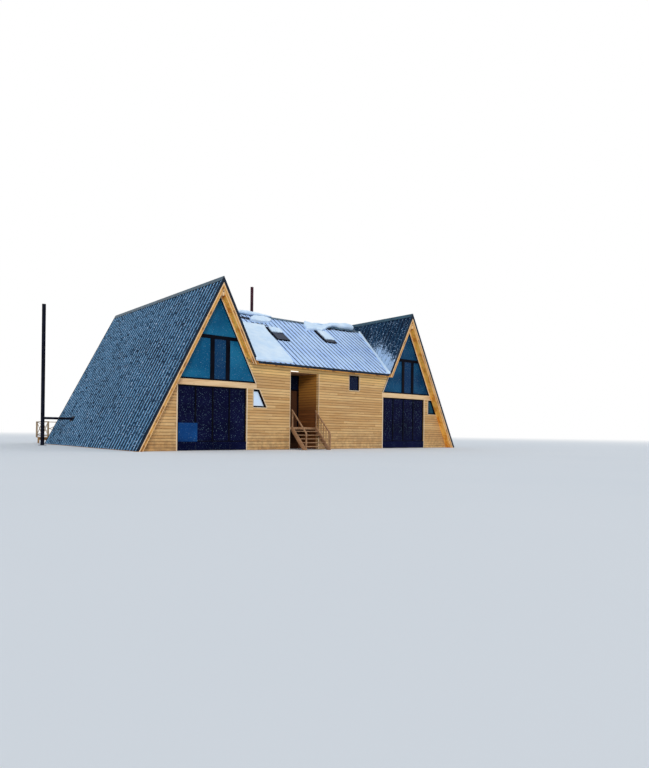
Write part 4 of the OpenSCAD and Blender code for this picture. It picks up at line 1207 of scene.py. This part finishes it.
photoView = dict(
    focal=602.16,                       # pixels, for a picture 649 wide
    width=649,
    position=(-14.900, -25.833, 1.011), # from the left A-frame's centre on the front face
    yaw=math.radians(40.019),           # right of +Y
    roll=math.radians(0.717),
    rise=47.0,                          # pixels that the picture's middle lies above the level line
    sensor=36.0,                        # millimetres
    reach=2000.0,                       # metres, past the floor's far edge
)
studio = dict(
    sky=(0.86, 0.93, 1.0, 1.0),
    skyStrength=0.62,
    floorRadius=900,
    floorDrop=0.002,                    # below the ground, so that the slabs stay clear of it
    floorTones=((0.80, 0.83, 0.87, 1.0), (0.84, 0.86, 0.89, 1.0)),
    fade=(24.0, 120.0),                 # distances between which the floor turns white
)


def addCamera():
    clearSelection()
    bpy.ops.object.camera_add()
    camera = bpy.context.object
    camera.name = "photoCamera"
    yaw, roll = photoView["yaw"], photoView["roll"]
    ahead = Vector((math.sin(yaw), math.cos(yaw), 0))
    right = Vector((math.cos(yaw), -math.sin(yaw), 0))
    up = right.cross(ahead)
    turnedRight = math.cos(roll) * right + math.sin(roll) * up
    turnedUp = math.cos(roll) * up - math.sin(roll) * right
    camera.matrix_world = Matrix.Translation(place(*photoView["position"])) @ Matrix(
        (turnedRight, turnedUp, -ahead)).transposed().to_4x4()
    camera.data.sensor_fit = "HORIZONTAL"
    camera.data.sensor_width = photoView["sensor"]
    camera.data.lens = photoView["focal"] / photoView["width"] * photoView["sensor"]
    camera.data.shift_y = photoView["rise"] / photoView["width"]
    camera.data.clip_end = photoView["reach"]
    bpy.context.scene.camera = camera


def addWorld():
    world = bpy.data.worlds.new("studioWorld")
    bpy.context.scene.world = world
    world.use_nodes = True
    tree = world.node_tree
    plain = tree.nodes["Background"]
    plain.inputs["Color"].default_value = studio["sky"]
    plain.inputs["Strength"].default_value = studio["skyStrength"]
    white = tree.nodes.new("ShaderNodeBackground")
    white.inputs["Color"].default_value = (1.0, 1.0, 1.0, 1.0)
    white.inputs["Strength"].default_value = 1.0
    path = tree.nodes.new("ShaderNodeLightPath")
    seen = path.outputs["Is Camera Ray"]
    for output in ("Is Glossy Ray", "Is Transmission Ray"):
        most = tree.nodes.new("ShaderNodeMath")
        most.operation = "MAXIMUM"
        tree.links.new(seen, most.inputs[0])
        tree.links.new(path.outputs[output], most.inputs[1])
        seen = most.outputs[0]
    mix = tree.nodes.new("ShaderNodeMixShader")
    tree.links.new(seen, mix.inputs[0])
    tree.links.new(plain.outputs[0], mix.inputs[1])
    tree.links.new(white.outputs[0], mix.inputs[2])
    tree.links.new(mix.outputs[0], tree.nodes["World Output"].inputs["Surface"])


def addSun(name, direction, strength, angle, colour=(1.0, 1.0, 1.0)):
    clearSelection()
    bpy.ops.object.light_add(type="SUN")
    sun = bpy.context.object
    sun.name = name
    sun.rotation_euler = (-Vector(direction)).to_track_quat("-Z", "Y").to_euler()
    sun.data.energy = strength
    sun.data.angle = math.radians(angle)
    sun.data.color = colour


def addFloor():
    clearSelection()
    bpy.ops.mesh.primitive_circle_add(vertices=96, radius=studio["floorRadius"], fill_type="NGON",
                                      location=(0, 0, -studio["floorDrop"]))
    floor = bpy.context.object
    floor.name = "studio_floor"
    settle(floor)
    recipe = Recipe("studioFloor", roughness=0.9, specular=0.1)
    cloud = recipe.noise(recipe.where, 0.15, 2.0)
    recipe.feed(Base_Color=recipe.blend(cloud, *studio["floorTones"]))
    glow = recipe.tree.nodes.new("ShaderNodeEmission")
    far = recipe.node("VectorMath", {"operation": "LENGTH"}, {0: recipe.where}, "Value")
    seen = recipe.node("LightPath", {}, {}, "Is Camera Ray")
    fade = far.ramp(*studio["fade"]) * seen
    mix = recipe.tree.nodes.new("ShaderNodeMixShader")
    recipe.tree.links.new(fade.socket, mix.inputs[0])
    recipe.tree.links.new(recipe.shader.outputs[0], mix.inputs[1])
    recipe.tree.links.new(glow.outputs[0], mix.inputs[2])
    recipe.tree.links.new(mix.outputs[0], recipe.tree.nodes["Material Output"].inputs["Surface"])
    floor.data.materials.append(recipe.material)


addCamera()
addWorld()
addSun("keySun", (-0.55, -0.85, 0.34), 1.2, 14, (1.0, 0.98, 0.95))
addSun("fillSun", (0.8, -0.3, 0.6), 0.35, 40)
addFloor()
bpy.context.scene.view_settings.view_transform = "Standard"
print("camera, light and floor stand")
